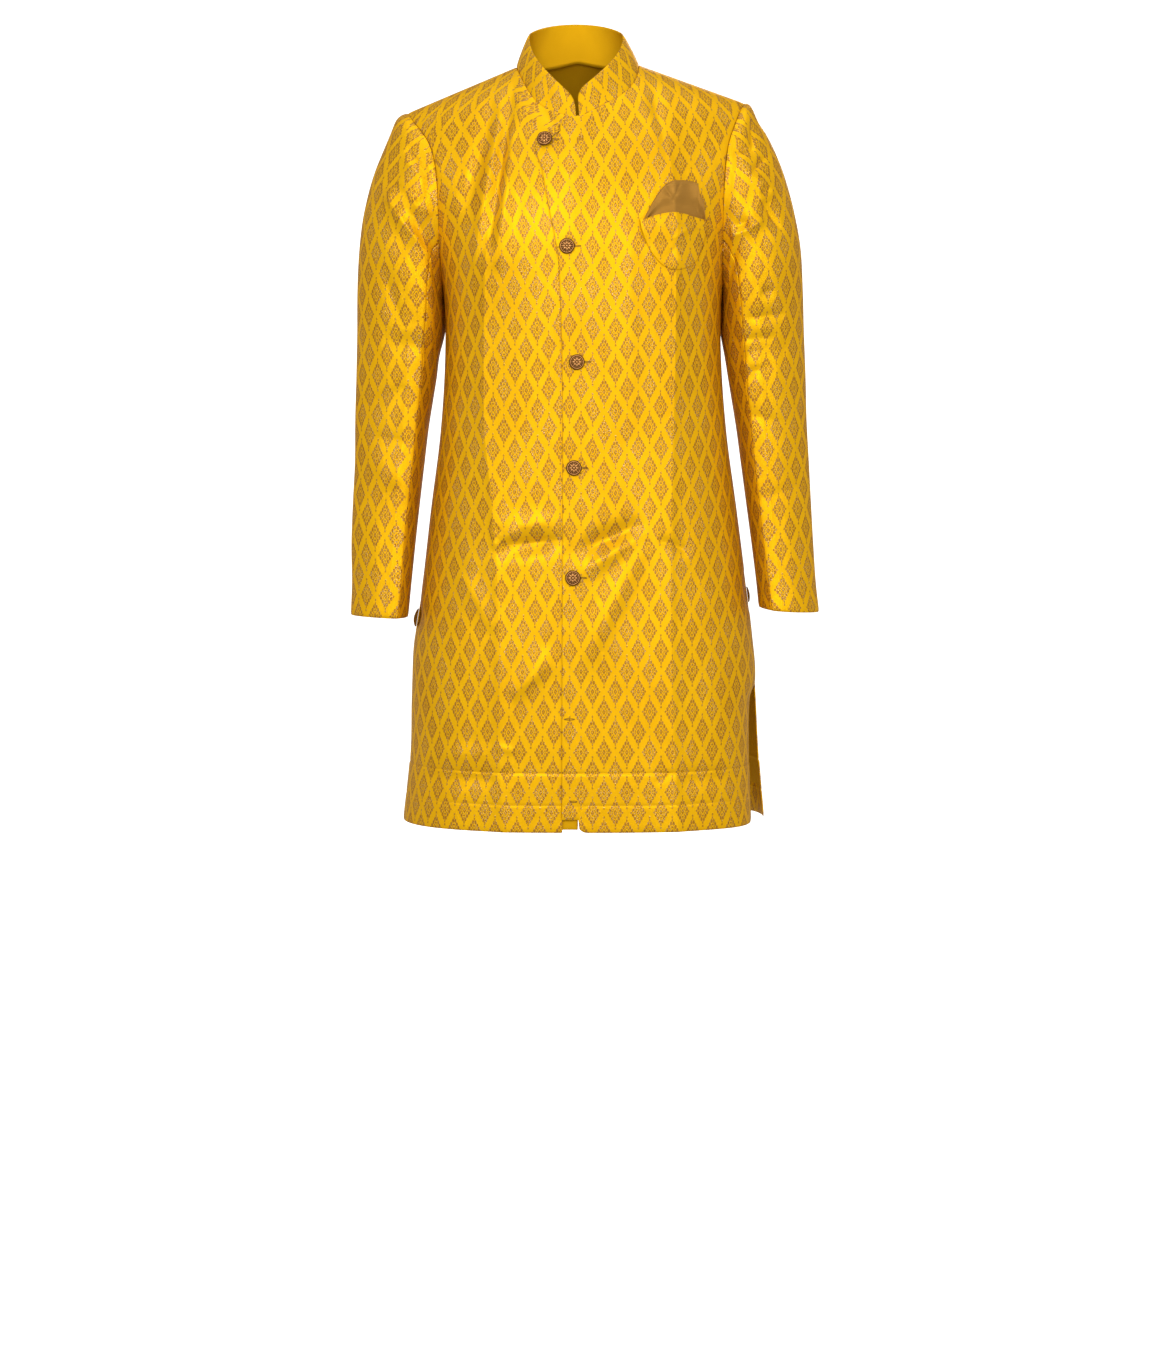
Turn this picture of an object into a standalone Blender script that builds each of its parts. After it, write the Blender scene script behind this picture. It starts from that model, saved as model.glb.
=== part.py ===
"""A sherwani coat, worn with nothing inside it: every panel is a thin wall of cloth.

Metres, +Z up. The front faces -Y. The origin lies between the two points where the
shoulder seams meet the neck, at the height of those points.
"""
import math
from collections import namedtuple

import bpy
import numpy as np

# Cloth
WALL = 0.0018
SEAM_GAP = 0.0003
LAID_GAP = 0.0008
BEHIND_GAP = 0.0009
OVERLAP_GAP = 0.0005
COLLAR_WALL = 0.0024
SATIN_WALL = 0.0012

# Main lengths
HEM_Z = -0.966
ARMPIT_Z = -0.283
ROUNDNESS = 2.4

# Neck and shoulder line
NECK_X = -0.0073
NECK_HALF_WIDTH = 0.0788
NECK_RIDGE_RISE = 0.0300
NECK_BACK_DROP = 0.0185
BACK_LINE_SPREAD = 0.030
SHOULDER_CAP_FRONT = 0.25
SHOULDER_CAP_BACK = 0.16

# Collar
COLLAR_TOP_X = -0.0095
COLLAR_TOP_HALF_WIDTH = 0.0612
COLLAR_TOP_FRONT_Y = -0.0800
COLLAR_TOP_BACK_Y = 0.0560
COLLAR_TOP_SIDE_Z = 0.0376
COLLAR_TOP_FRONT_Z_RIGHT = -0.0455
COLLAR_TOP_FRONT_Z_LEFT = -0.0375
COLLAR_TOP_BACK_Z = 0.0560
COLLAR_CORNER_RADIUS = 0.0110
COLLAR_FRONT_GAP = 0.0040

# The under panel's neckline lies a little lower where the other one covers it
UNDERLAP_DROP = 0.0025
UNDERLAP_MARGIN = 0.002

# Buttons
BUTTON_RADIUS = 0.0094
BUTTON_DOME = 0.0030
BUTTON_RIM = 0.0014
BUTTON_GAP = 0.0007
SHANK_RADIUS = 0.0032
SHANK_HEIGHT = 0.0016

Side = namedtuple("Side", "name sign shoulder_x shoulder_z slope")
IMAGE_LEFT = Side("right", -1, -0.2243, -0.0596, 0.417)
IMAGE_RIGHT = Side("left", 1, 0.2050, -0.0469, 0.356)
SIDES = (IMAGE_LEFT, IMAGE_RIGHT)

# The front neckline: how far it lies below the shoulder line, across the neck
Neck = namedtuple("Neck", "across drop")
NECKLINE = (
    Neck(-1.00, 0.0000),
    Neck(-0.96, 0.0080),
    Neck(-0.90, 0.0200),
    Neck(-0.81, 0.0370),
    Neck(-0.67, 0.0565),
    Neck(-0.51, 0.0705),
    Neck(-0.26, 0.0865),
    Neck(0.00, 0.0985),
    Neck(0.23, 0.0845),
    Neck(0.47, 0.0665),
    Neck(0.72, 0.0475),
    Neck(0.89, 0.0290),
    Neck(0.96, 0.0150),
    Neck(1.00, 0.0000),
)

Ring = namedtuple("Ring", "z centre half_width front back")
RINGS = (
    Ring(0.030, -0.0095, 0.2600, 0.108, 0.096),
    Ring(-0.050, -0.0090, 0.2480, 0.116, 0.104),
    Ring(-0.120, -0.0075, 0.2230, 0.126, 0.110),
    Ring(-0.200, -0.0045, 0.1960, 0.134, 0.111),
    Ring(-0.283, -0.0010, 0.1790, 0.137, 0.107),
    Ring(-0.361, -0.0005, 0.1768, 0.137, 0.102),
    Ring(-0.464, 0.0000, 0.1836, 0.138, 0.102),
    Ring(-0.567, 0.0004, 0.1972, 0.141, 0.116),
    Ring(-0.670, 0.0010, 0.2100, 0.146, 0.131),
    Ring(-0.735, 0.0000, 0.2189, 0.149, 0.137),
    Ring(-0.808, 0.0006, 0.2231, 0.151, 0.141),
    Ring(-0.881, 0.0016, 0.2260, 0.153, 0.144),
    Ring(-0.966, 0.0006, 0.2342, 0.155, 0.149),
)

# The armhole seam, from the shoulder point to the armpit
Seam = namedtuple("Seam", "z front_right front_left back_right back_left")
ARMHOLE = (
    Seam(-0.045, -0.2290, 0.2060, -0.2290, 0.2060),
    Seam(-0.060, -0.2241, 0.1985, -0.2241, 0.2000),
    Seam(-0.097, -0.1975, 0.1848, -0.2040, 0.1920),
    Seam(-0.130, -0.1875, 0.1797, -0.1965, 0.1870),
    Seam(-0.182, -0.1838, 0.1770, -0.1900, 0.1830),
    Seam(-0.235, -0.1828, 0.1768, -0.1850, 0.1800),
    Seam(-0.283, -0.1800, 0.1780, -0.1800, 0.1780),
)

# The front edge of the overlapping panel and how far the other one runs on under it
Edge = namedtuple("Edge", "z edge underlap")
FRONT_EDGE = (
    Edge(-0.055, -0.0440, 0.012),
    Edge(-0.090, -0.0560, 0.020),
    Edge(-0.106, -0.0590, 0.024),
    Edge(-0.135, -0.0520, 0.024),
    Edge(-0.165, -0.0465, 0.022),
    Edge(-0.195, -0.0410, 0.020),
    Edge(-0.220, -0.0355, 0.018),
    Edge(-0.255, -0.0305, 0.014),
    Edge(-0.390, -0.0262, 0.012),
    Edge(-0.640, -0.0262, 0.010),
    Edge(-0.850, -0.0268, 0.004),
    Edge(-0.966, -0.0268, 0.000),
)

# Where the overlapping panel comes down again beyond the other one's edge
LIFT_NEAR = 0.004
LIFT_FAR = 0.040

# The pressed crease down each front, from the neck point
Crease = namedtuple("Crease", "z right left")
PRESSED = (
    Crease(0.000, -0.0861, 0.0715),
    Crease(-0.035, -0.0930, 0.0870),
    Crease(-0.100, -0.1060, 0.1045),
    Crease(-0.200, -0.1170, 0.1120),
    Crease(-0.300, -0.1210, 0.1130),
    Crease(-0.460, -0.1215, 0.1105),
    Crease(-0.560, -0.1120, 0.1090),
    Crease(-0.720, -0.1050, 0.1090),
    Crease(-0.880, -0.1040, 0.1140),
    Crease(-0.966, -0.1005, 0.1178),
)

# How far a panel's side edge is drawn in, at the pocket mouths and the vents
Draw = namedtuple("Draw", "z front_right front_left back_right")
DRAWN_IN = (
    Draw(-0.640, 0.0000, 0.0000, 0.000),
    Draw(-0.668, 0.0000, 0.0020, 0.000),
    Draw(-0.684, 0.0020, 0.0020, 0.000),
    Draw(-0.700, 0.0062, 0.0000, 0.000),
    Draw(-0.716, 0.0060, 0.0000, 0.000),
    Draw(-0.735, 0.0008, 0.0000, 0.000),
    Draw(-0.785, 0.0000, 0.0000, 0.000),
    Draw(-0.808, 0.0000, 0.0085, 0.003),
    Draw(-0.881, 0.0000, 0.0135, 0.006),
    Draw(-0.966, 0.0000, 0.0185, 0.009),
)
PULL_START = 0.35

# Folds: a line from one end to the other, its height outwards and its width
Fold = namedtuple("Fold", "x0 z0 x1 z1 height width")
FRONT_FOLDS = (
    Fold(-0.094, -0.050, -0.117, -0.225, -0.0050, 0.0085),
    Fold(-0.112, -0.060, -0.146, -0.180, -0.0045, 0.0095),
    Fold(-0.104, -0.060, -0.136, -0.250, 0.0035, 0.0090),
    Fold(-0.090, -0.090, -0.104, -0.250, 0.0040, 0.0100),
    Fold(0.088, -0.035, 0.106, -0.120, -0.0035, 0.0090),
    Fold(0.055, -0.215, 0.052, -0.460, 0.0035, 0.0160),
    Fold(-0.108, -0.585, -0.030, -0.575, 0.0030, 0.0120),
    Fold(-0.108, -0.615, -0.030, -0.602, -0.0040, 0.0100),
    Fold(-0.012, -0.622, 0.070, -0.585, -0.0045, 0.0120),
    Fold(0.004, -0.740, 0.070, -0.612, 0.0035, 0.0150),
    Fold(-0.155, -0.645, -0.118, -0.708, 0.0030, 0.0120),
    Fold(-0.085, -0.790, -0.042, -0.740, 0.0035, 0.0110),
    Fold(-0.205, -0.880, -0.120, -0.895, 0.0030, 0.0140),
    Fold(-0.205, -0.925, -0.120, -0.930, -0.0030, 0.0160),
    Fold(0.125, -0.850, 0.205, -0.850, -0.0030, 0.0180),
)
BACK_FOLDS = (
    Fold(-0.120, -0.120, -0.060, -0.330, -0.0035, 0.0180),
    Fold(0.115, -0.125, 0.065, -0.340, -0.0035, 0.0180),
    Fold(-0.100, -0.400, 0.100, -0.392, -0.0030, 0.0140),
    Fold(-0.130, -0.612, 0.130, -0.602, -0.0030, 0.0120),
    Fold(-0.050, -0.540, -0.075, -0.930, 0.0040, 0.0260),
    Fold(0.060, -0.560, 0.080, -0.930, 0.0040, 0.0260),
)
PRESS_HEIGHT = 0.0030
PRESS_WIDTH = 0.0120
PRESS_TOP = -0.10
PRESS_FULL = -0.26

# How a fold fades at its ends, and where the folds lie flatter
FADE_SPAN = 0.8
FADE_START = 0.1
FADE_POWER = 0.7
CALM_LEVEL = 0.3
CALM_NEAR = 0.010
CALM_FAR = 0.035

# Sleeve sections: outer and inner ends seen from the front, then depth
Section = namedtuple("Section", "outer_x outer_z inner_x inner_z centre_y depth pinch tip")
RIGHT_SLEEVE = (
    Section(-0.2243, -0.0596, -0.1800, -0.283, 0.000, 0.062, 1.00, 0.000),
    Section(-0.2330, -0.0628, -0.1806, -0.287, 0.000, 0.064, 1.00, 0.000),
    Section(-0.2400, -0.0700, -0.1812, -0.291, 0.000, 0.066, 1.00, 0.000),
    Section(-0.2475, -0.0880, -0.1818, -0.296, 0.000, 0.068, 1.02, 0.001),
    Section(-0.2555, -0.1064, -0.1824, -0.302, 0.001, 0.069, 1.05, 0.002),
    Section(-0.2665, -0.1330, -0.1828, -0.310, 0.001, 0.070, 1.08, 0.004),
    Section(-0.2750, -0.1600, -0.1832, -0.320, 0.002, 0.070, 1.12, 0.006),
    Section(-0.2832, -0.1970, -0.1836, -0.333, 0.002, 0.070, 1.16, 0.009),
    Section(-0.2882, -0.2400, -0.1842, -0.350, 0.003, 0.069, 1.20, 0.012),
    Section(-0.2906, -0.2880, -0.1862, -0.370, 0.004, 0.067, 1.26, 0.014),
    Section(-0.2912, -0.3400, -0.1888, -0.395, 0.005, 0.065, 1.32, 0.016),
    Section(-0.2925, -0.3950, -0.1936, -0.425, 0.004, 0.063, 1.36, 0.017),
    Section(-0.2942, -0.4500, -0.1995, -0.462, 0.002, 0.061, 1.38, 0.017),
    Section(-0.2947, -0.5050, -0.2050, -0.508, -0.002, 0.058, 1.40, 0.016),
    Section(-0.2972, -0.5560, -0.2107, -0.557, -0.007, 0.056, 1.42, 0.015),
    Section(-0.2990, -0.6080, -0.2163, -0.608, -0.013, 0.053, 1.42, 0.014),
    Section(-0.2983, -0.6600, -0.2218, -0.662, -0.019, 0.051, 1.42, 0.013),
    Section(-0.2998, -0.7000, -0.2257, -0.703, -0.024, 0.049, 1.42, 0.012),
)
LEFT_SLEEVE = (
    Section(0.2050, -0.0469, 0.1780, -0.283, 0.000, 0.062, 1.00, 0.000),
    Section(0.2110, -0.0484, 0.1786, -0.287, 0.000, 0.064, 1.00, 0.000),
    Section(0.2160, -0.0545, 0.1792, -0.291, 0.000, 0.066, 1.00, 0.000),
    Section(0.2240, -0.0720, 0.1797, -0.296, 0.000, 0.068, 1.02, 0.001),
    Section(0.2345, -0.0880, 0.1800, -0.302, 0.001, 0.069, 1.05, 0.001),
    Section(0.2470, -0.1130, 0.1802, -0.310, 0.001, 0.070, 1.08, 0.002),
    Section(0.2595, -0.1460, 0.1804, -0.320, 0.002, 0.070, 1.12, 0.003),
    Section(0.2700, -0.1850, 0.1806, -0.333, 0.002, 0.070, 1.16, 0.004),
    Section(0.2785, -0.2310, 0.1808, -0.350, 0.003, 0.069, 1.20, 0.006),
    Section(0.2818, -0.2830, 0.1822, -0.370, 0.004, 0.067, 1.26, 0.008),
    Section(0.2836, -0.3380, 0.1858, -0.395, 0.005, 0.065, 1.32, 0.010),
    Section(0.2860, -0.3950, 0.1908, -0.425, 0.004, 0.063, 1.36, 0.011),
    Section(0.2875, -0.4500, 0.1968, -0.462, 0.002, 0.061, 1.38, 0.012),
    Section(0.2905, -0.5050, 0.2030, -0.508, -0.002, 0.058, 1.40, 0.012),
    Section(0.2932, -0.5560, 0.2095, -0.557, -0.007, 0.056, 1.42, 0.012),
    Section(0.2960, -0.6080, 0.2163, -0.608, -0.013, 0.053, 1.42, 0.011),
    Section(0.2992, -0.6580, 0.2222, -0.656, -0.019, 0.051, 1.42, 0.010),
    Section(0.3033, -0.6960, 0.2255, -0.690, -0.026, 0.049, 1.42, 0.009),
)

# A sleeve follows the armhole's own shape over its first sections
SLEEVE_BLEND_ROWS = 7
SLEEVE_BLEND_POWER = 1.5
SLEEVE_LENGTH = 0.62
SLEEVE_GIRTH = 0.40
WRINKLES_START = 0.12

# Sleeve folds: where round the sleeve (degrees from the outside, forwards) and how far down
Wrinkle = namedtuple("Wrinkle", "angle0 down0 angle1 down1 height width")
RIGHT_WRINKLES = (
    Wrinkle(30, 0.16, 120, 0.36, -0.0040, 0.012),
    Wrinkle(55, 0.14, 125, 0.26, 0.0040, 0.014),
    Wrinkle(60, 0.58, 150, 0.54, -0.0030, 0.012),
    Wrinkle(200, 0.56, 300, 0.60, -0.0030, 0.014),
    Wrinkle(40, 0.76, 110, 0.80, 0.0025, 0.012),
)
LEFT_WRINKLES = (
    Wrinkle(35, 0.12, 130, 0.24, -0.0040, 0.011),
    Wrinkle(20, 0.20, 110, 0.33, 0.0035, 0.012),
    Wrinkle(70, 0.32, 140, 0.36, -0.0040, 0.012),
    Wrinkle(50, 0.60, 140, 0.56, -0.0030, 0.012),
    Wrinkle(210, 0.55, 310, 0.59, -0.0030, 0.014),
)

# Chest pocket, seen from the front: its two sides between the mouth and the point
Band = namedtuple("Band", "z left right")
POCKET = (
    Band(-0.1985, 0.0690, 0.1530),
    Band(-0.2130, 0.0720, 0.1520),
    Band(-0.2300, 0.0790, 0.1490),
    Band(-0.2450, 0.0880, 0.1430),
    Band(-0.2560, 0.0990, 0.1320),
    Band(-0.2605, 0.1080, 0.1180),
)
POCKET_MOUTH_RISE = 0.0080
POCKET_CLOSE = 0.15
POCKET_FLAT = 0.55
SQUARE_TUCK = 0.0054
SQUARE_WALL = 0.0020
SQUARE_START = 0.06
SQUARE_WIDTH = 0.90
PLEAT = 0.0016
PLEAT_TURN = 13.0
PLEAT_SLANT = 2.0
# The folded square above the mouth: height of its top edge across the pocket
Peak = namedtuple("Peak", "across height")
SQUARE_TOP = (
    Peak(0.00, 0.002),
    Peak(0.16, 0.016),
    Peak(0.34, 0.030),
    Peak(0.55, 0.034),
    Peak(0.72, 0.031),
    Peak(0.80, 0.014),
    Peak(0.90, 0.019),
    Peak(1.00, 0.004),
)

Spot = namedtuple("Spot", "x z")
BUTTONS = (
    Spot(-0.0478, -0.0995),
    Spot(-0.0205, -0.2316),
    Spot(-0.0081, -0.3755),
    Spot(-0.0119, -0.5076),
    Spot(-0.0132, -0.6452),
)

# Pocket facings that show at the side seams: top, bottom and how far they stand out
Facing = namedtuple("Facing", "side top bottom reach")
SIDE_FACINGS = (
    Facing(IMAGE_LEFT, -0.690, -0.722, 0.0045),
    Facing(IMAGE_RIGHT, -0.664, -0.690, 0.0025),
)
FACING_SEAT = 0.0003
FACING_BULGE = 0.6

# The lower corner of the overlapping panel is cut back
NOTCH_WIDTH = 0.0205
NOTCH_RISE = 0.0165
NOTCH_RADIUS = 0.0120
NOTCH_CORNER = 0.75
NOTCH_REACH = 0.09

# The front facing: its columns from the under front's edge, and how far its ends stop short
FACING_COLUMNS = (-0.006, 0.003, 0.0195)
FACING_LEAST = 0.006
FACING_HEM = 0.004
FACING_TOP = 0.004

# How finely the panels are divided
ARMHOLE_STEPS = 9
SKIRT_ROWS = (0.28, 0.325, 0.375, 0.43, 0.485, 0.54, 0.578, 0.60, 0.622, 0.655, 0.682, 0.70,
              0.716, 0.732, 0.75, 0.785, 0.81, 0.85, 0.89, 0.92, 0.96, 1.0)
EDGE_COLUMNS = (0.0, 0.010, 0.0205, 0.0225, 0.0265, 0.0340)
INNER_STEPS = 6
OUTER_STEPS = 8
BACK_NECK_STEPS = 5
RIGHT_INNER_STEPS = 7
UNDER_SLEEVE_COLUMNS = 3


def spline(table, column, at):
    """Smooth value of a named column at the height or place `at`, whichever way the table runs."""
    keys = [row[0] for row in table]
    values = [getattr(row, column) for row in table]
    if keys[0] > keys[-1]:
        keys.reverse()
        values.reverse()
    if at <= keys[0]:
        return values[0]
    if at >= keys[-1]:
        return values[-1]
    slopes = []
    last = len(keys) - 1
    for i in range(last + 1):
        low = max(i - 1, 0)
        high = min(i + 1, last)
        slopes.append((values[high] - values[low]) / (keys[high] - keys[low]))
    i = 0
    while keys[i + 1] < at:
        i += 1
    span = keys[i + 1] - keys[i]
    t = (at - keys[i]) / span
    return ((2 * t**3 - 3 * t**2 + 1) * values[i] + (t**3 - 2 * t**2 + t) * span * slopes[i]
            + (3 * t**2 - 2 * t**3) * values[i + 1] + (t**3 - t**2) * span * slopes[i + 1])


def smooth(low, high, value):
    t = min(max((value - low) / (high - low), 0.0), 1.0)
    return t * t * (3 - 2 * t)


def unit(vector):
    return vector / max(np.linalg.norm(vector), 1e-12)


def side_of(x):
    return IMAGE_LEFT if x < NECK_X else IMAGE_RIGHT


def neck_point(side):
    """Where the shoulder seam meets the neck."""
    x = NECK_X + side.sign * NECK_HALF_WIDTH
    return x, side.shoulder_z + side.slope * (side.shoulder_x - x) * side.sign


def shoulder_line(x):
    """Height of the shoulder seam line, carried on over the neck as a low ridge."""
    side = side_of(x)
    across = (x - NECK_X) / NECK_HALF_WIDTH
    if abs(across) >= 1:
        return side.shoulder_z + side.slope * (side.shoulder_x - x) * side.sign
    left_z = neck_point(IMAGE_LEFT)[1]
    right_z = neck_point(IMAGE_RIGHT)[1]
    return left_z + (right_z - left_z) * (across + 1) / 2 + NECK_RIDGE_RISE * (1 - abs(across))


def cap(depth_below, cap_height):
    """How far the cloth has rounded over from the shoulder seam, from 0 to 1."""
    t = min(max(depth_below / cap_height, 0.0), 1.0)
    return math.sqrt(1 - (1 - t) ** 2)


def hull(x, z, back):
    """The plain body of the coat at a place seen from the front, or from behind."""
    across = (x - spline(RINGS, "centre", z)) / spline(RINGS, "half_width", z)
    depth = max(1 - min(abs(across), 1.0) ** ROUNDNESS, 0.0) ** (1 / ROUNDNESS)
    below = shoulder_line(x) - z
    if back:
        return np.array((x, spline(RINGS, "back", z) * depth * cap(below, SHOULDER_CAP_BACK), z))
    return np.array((x, -spline(RINGS, "front", z) * depth * cap(below, SHOULDER_CAP_FRONT), z))


def hull_normal(x, z, back):
    step = 0.002
    dx = hull(x + step, z, back) - hull(x - step, z, back)
    dz = hull(x, z + step, back) - hull(x, z - step, back)
    normal = np.cross(dx, dz)
    return unit(-normal if back else normal)


def calm(x, z):
    """Folds lie flatter where the two fronts overlap."""
    middle = spline(FRONT_EDGE, "edge", z) + CALM_NEAR
    return CALM_LEVEL + (1 - CALM_LEVEL) * smooth(CALM_NEAR, CALM_FAR, abs(x - middle))


def end_fade(along):
    """From 0 to 1: a fold fades out at its two ends."""
    place = min(max(along * FADE_SPAN + FADE_START, 0.0), 1.0)
    return math.sin(math.pi * place) ** FADE_POWER


def fold_height(folds, x, z):
    """Sum of the soft ridges and troughs at a place; each one fades towards its ends."""
    total = 0.0
    for fold in folds:
        ax = fold.x1 - fold.x0
        az = fold.z1 - fold.z0
        along = ((x - fold.x0) * ax + (z - fold.z0) * az) / (ax * ax + az * az)
        inside = min(max(along, 0.0), 1.0)
        away = math.hypot(x - fold.x0 - inside * ax, z - fold.z0 - inside * az)
        if away < 3 * fold.width:
            total += fold.height * end_fade(along) * math.exp(-((away / fold.width) ** 2))
    return total


def press_line(z, side):
    return spline(PRESSED, side.name, z)


def pressed_ridge(x, z):
    side = side_of(x)
    away = abs(x - press_line(z, side))
    start = smooth(PRESS_TOP, PRESS_FULL, z)
    return PRESS_HEIGHT * start * math.exp(-away / PRESS_WIDTH)


def overlap_lift(x, z):
    """The overlapping panel stands off the other one along the front edge."""
    reach = spline(FRONT_EDGE, "edge", z) + spline(FRONT_EDGE, "underlap", z)
    return (WALL + OVERLAP_GAP) * (1 - smooth(reach + LIFT_NEAR, reach + LIFT_FAR, x))


def front_point(x, z, lift=0.0):
    height = lift + fold_height(FRONT_FOLDS, x, z) * calm(x, z) + pressed_ridge(x, z)
    return hull(x, z, False) + hull_normal(x, z, False) * height


def back_point(x, z, lift=0.0):
    height = lift + fold_height(BACK_FOLDS, x, z)
    return hull(x, z, True) + hull_normal(x, z, True) * height


def top_height(x, back):
    """Height of a panel's top edge: the neckline scooped out of the shoulder line."""
    across = (x - NECK_X) / NECK_HALF_WIDTH
    if back:
        return shoulder_line(x) - NECK_BACK_DROP * (1 - min(abs(across), 1.0) ** 2)
    return shoulder_line(x) - spline(NECKLINE, "drop", across)


def row_shares():
    """Rows down a panel: equal steps round the armhole, then the skirt rows."""
    armhole = [(1 - math.cos(math.pi * i / ARMHOLE_STEPS)) / 2 for i in range(ARMHOLE_STEPS + 1)]
    return [(share, 0.0) for share in armhole] + [(1.0, share) for share in SKIRT_ROWS]


def row_z(top, side, shares):
    """Height of a row in a column that starts at `top`; rows are level from the hem up."""
    armhole_share, skirt_share = shares
    shoulder = armhole_end(side)[1]
    armpit = top + (HEM_Z - top) * (shoulder - ARMPIT_Z) / (shoulder - HEM_Z)
    if skirt_share == 0:
        return top + (armpit - top) * armhole_share
    return armpit + (HEM_Z - armpit) * skirt_share


def column_top(place, back):
    """Where a column meets the top edge; `place` gives the column's x at a height."""
    z = ARMHOLE[0].z
    for _ in range(30):
        z = 0.5 * z + 0.5 * top_height(place(z), back)
    return place(z), z


def outer_x(z, side, back):
    """Where a panel ends sideways: at the armhole, then at the side seam."""
    if z > ARMPIT_Z:
        column = ("back_" if back else "front_") + side.name
        return spline(ARMHOLE, column, z)
    return spline(RINGS, "centre", z) + side.sign * spline(RINGS, "half_width", z)


def armhole_end(side):
    """The shoulder point: the top of the armhole seam."""
    return SHOULDER_POINTS[side.name]


def drawn_in(z, side, back):
    column = ("back_" if back else "front_") + side.name
    if column == "back_left":
        return 0.0
    return spline(DRAWN_IN, column, z)


def crowd(share):
    """Columns crowd towards the neck point, where the neckline is steepest."""
    return math.sin(share * math.pi / 2)


def column_x(z, start, side, share, back):
    """x of a column between a start line and the panel's outer edge, evenly round the body."""
    centre = spline(RINGS, "centre", z)
    half = spline(RINGS, "half_width", z)
    limit = outer_x(z, side, back)
    near = min(abs(start - centre) / half, 1.0)
    far = min(abs(limit - centre) / half, 1.0)
    near_angle = math.acos(near ** (ROUNDNESS / 2))
    far_angle = math.acos(far ** (ROUNDNESS / 2))
    angle = near_angle + (far_angle - near_angle) * share
    return centre + side.sign * half * math.cos(angle) ** (2 / ROUNDNESS)


def column(place, side, back):
    """The x and z of every row of one column."""
    top = column_top(place, back)[1]
    heights = [row_z(top, side, shares) for shares in row_shares()]
    return [(place(z), z) for z in heights]


def notch_rise(x, z):
    """The overlapping panel's lower front corner is cut up by a step with a round corner."""
    from_edge = x - spline(FRONT_EDGE, "edge", z)
    if from_edge <= NOTCH_WIDTH + 1e-6:
        rise = NOTCH_RISE
    elif from_edge < NOTCH_WIDTH + NOTCH_RADIUS:
        t = 1 - (from_edge - NOTCH_WIDTH) / NOTCH_RADIUS
        rise = NOTCH_RADIUS * NOTCH_CORNER * (1 - math.sqrt(1 - t * t))
    else:
        rise = 0.0
    return rise * smooth(HEM_Z + NOTCH_REACH, HEM_Z, z)


def drape(x, z, side, back, share, lift):
    """A point of a panel, with its side edge drawn in where the seam is open."""
    pull = drawn_in(z, side, back) * smooth(PULL_START, 1.0, share)
    point = back_point(x, z, lift) if back else front_point(x, z, lift)
    point[0] -= side.sign * pull
    return point


def front_panel(side):
    """Rows and columns of the outer face of a front, from its front edge to its side seam."""
    overlapping = side is IMAGE_RIGHT
    columns = []
    for kind, share in front_columns(overlapping):
        places = column(front_place(side, overlapping, kind, share), side, False)
        round_side = share if kind == "outer" else 0.0
        columns.append([front_vertex(side, overlapping, x, z, round_side) for x, z in places])
    if not overlapping:
        lower_under_neckline(columns)
    return np.array(columns).swapaxes(0, 1)


def lower_under_neckline(columns):
    """Where the other front covers it, the under front's neckline lies a little lower."""
    for points in columns:
        x, _, z = points[0]
        if x > spline(FRONT_EDGE, "edge", z) - UNDERLAP_MARGIN:
            points[0] = front_point(x, z - UNDERLAP_DROP)


def front_columns(overlapping):
    if overlapping:
        columns = [("edge", offset) for offset in EDGE_COLUMNS]
        columns += [("inner", crowd((i + 1) / INNER_STEPS)) for i in range(INNER_STEPS)]
    else:
        columns = [("inner", crowd(i / RIGHT_INNER_STEPS)) for i in range(RIGHT_INNER_STEPS + 1)]
    return columns + [("outer", (i + 1) / OUTER_STEPS) for i in range(OUTER_STEPS)]


def front_edge_x(z, overlapping):
    edge = spline(FRONT_EDGE, "edge", z)
    return edge if overlapping else edge + spline(FRONT_EDGE, "underlap", z)


def front_place(side, overlapping, kind, share):
    """A column of a front, as a function that gives its x at a height."""
    def place(z):
        edge = front_edge_x(z, overlapping)
        press = press_line(z, side)
        if kind == "edge":
            return edge + share
        if kind == "inner":
            start = edge + EDGE_COLUMNS[-1] if overlapping else edge
            return start + (press - start) * share
        return column_x(z, press, side, share, False)
    return place


def front_vertex(side, overlapping, x, z, round_side):
    if not overlapping:
        return drape(x, z, side, False, round_side, 0.0)
    z += notch_rise(x, z)
    return drape(x, z, side, False, round_side, overlap_lift(x, z))


def back_line(z, side):
    """The line down the back below a neck point."""
    return NECK_X + side.sign * (NECK_HALF_WIDTH + BACK_LINE_SPREAD * smooth(0.0, -0.30, z))


def back_columns():
    """Columns of one half of the back, from its middle to its side seam."""
    columns = [("inner", crowd(i / BACK_NECK_STEPS)) for i in range(BACK_NECK_STEPS + 1)]
    return columns + [("outer", (i + 1) / OUTER_STEPS) for i in range(OUTER_STEPS)]


def back_place(side, kind, share):
    def place(z):
        line = back_line(z, side)
        if kind == "inner":
            return NECK_X + (line - NECK_X) * share
        return column_x(z, line, side, share, True)
    return place


def back_half(side):
    """Columns of one half of the back."""
    columns = []
    for kind, share in back_columns():
        round_side = share if kind == "outer" else 0.0
        places = column(back_place(side, kind, share), side, True)
        columns.append([drape(x, z, side, True, round_side, 0.0) for x, z in places])
    return columns


def back_panel():
    """The back in one piece, from the seam at -X to the seam at +X."""
    columns = back_half(IMAGE_LEFT)[:0:-1] + back_half(IMAGE_RIGHT)
    return np.array(columns).swapaxes(0, 1)


def grid_normals(grid, wrap=False):
    """Outward or inward unit normals of a grid, from its neighbours in both directions."""
    if wrap:
        across = np.roll(grid, -1, axis=1) - np.roll(grid, 1, axis=1)
    else:
        across = np.gradient(grid, axis=1)
    down = np.gradient(grid, axis=0)
    normals = np.cross(across, down)
    lengths = np.linalg.norm(normals, axis=2, keepdims=True)
    return normals / np.maximum(lengths, 1e-12)


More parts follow.
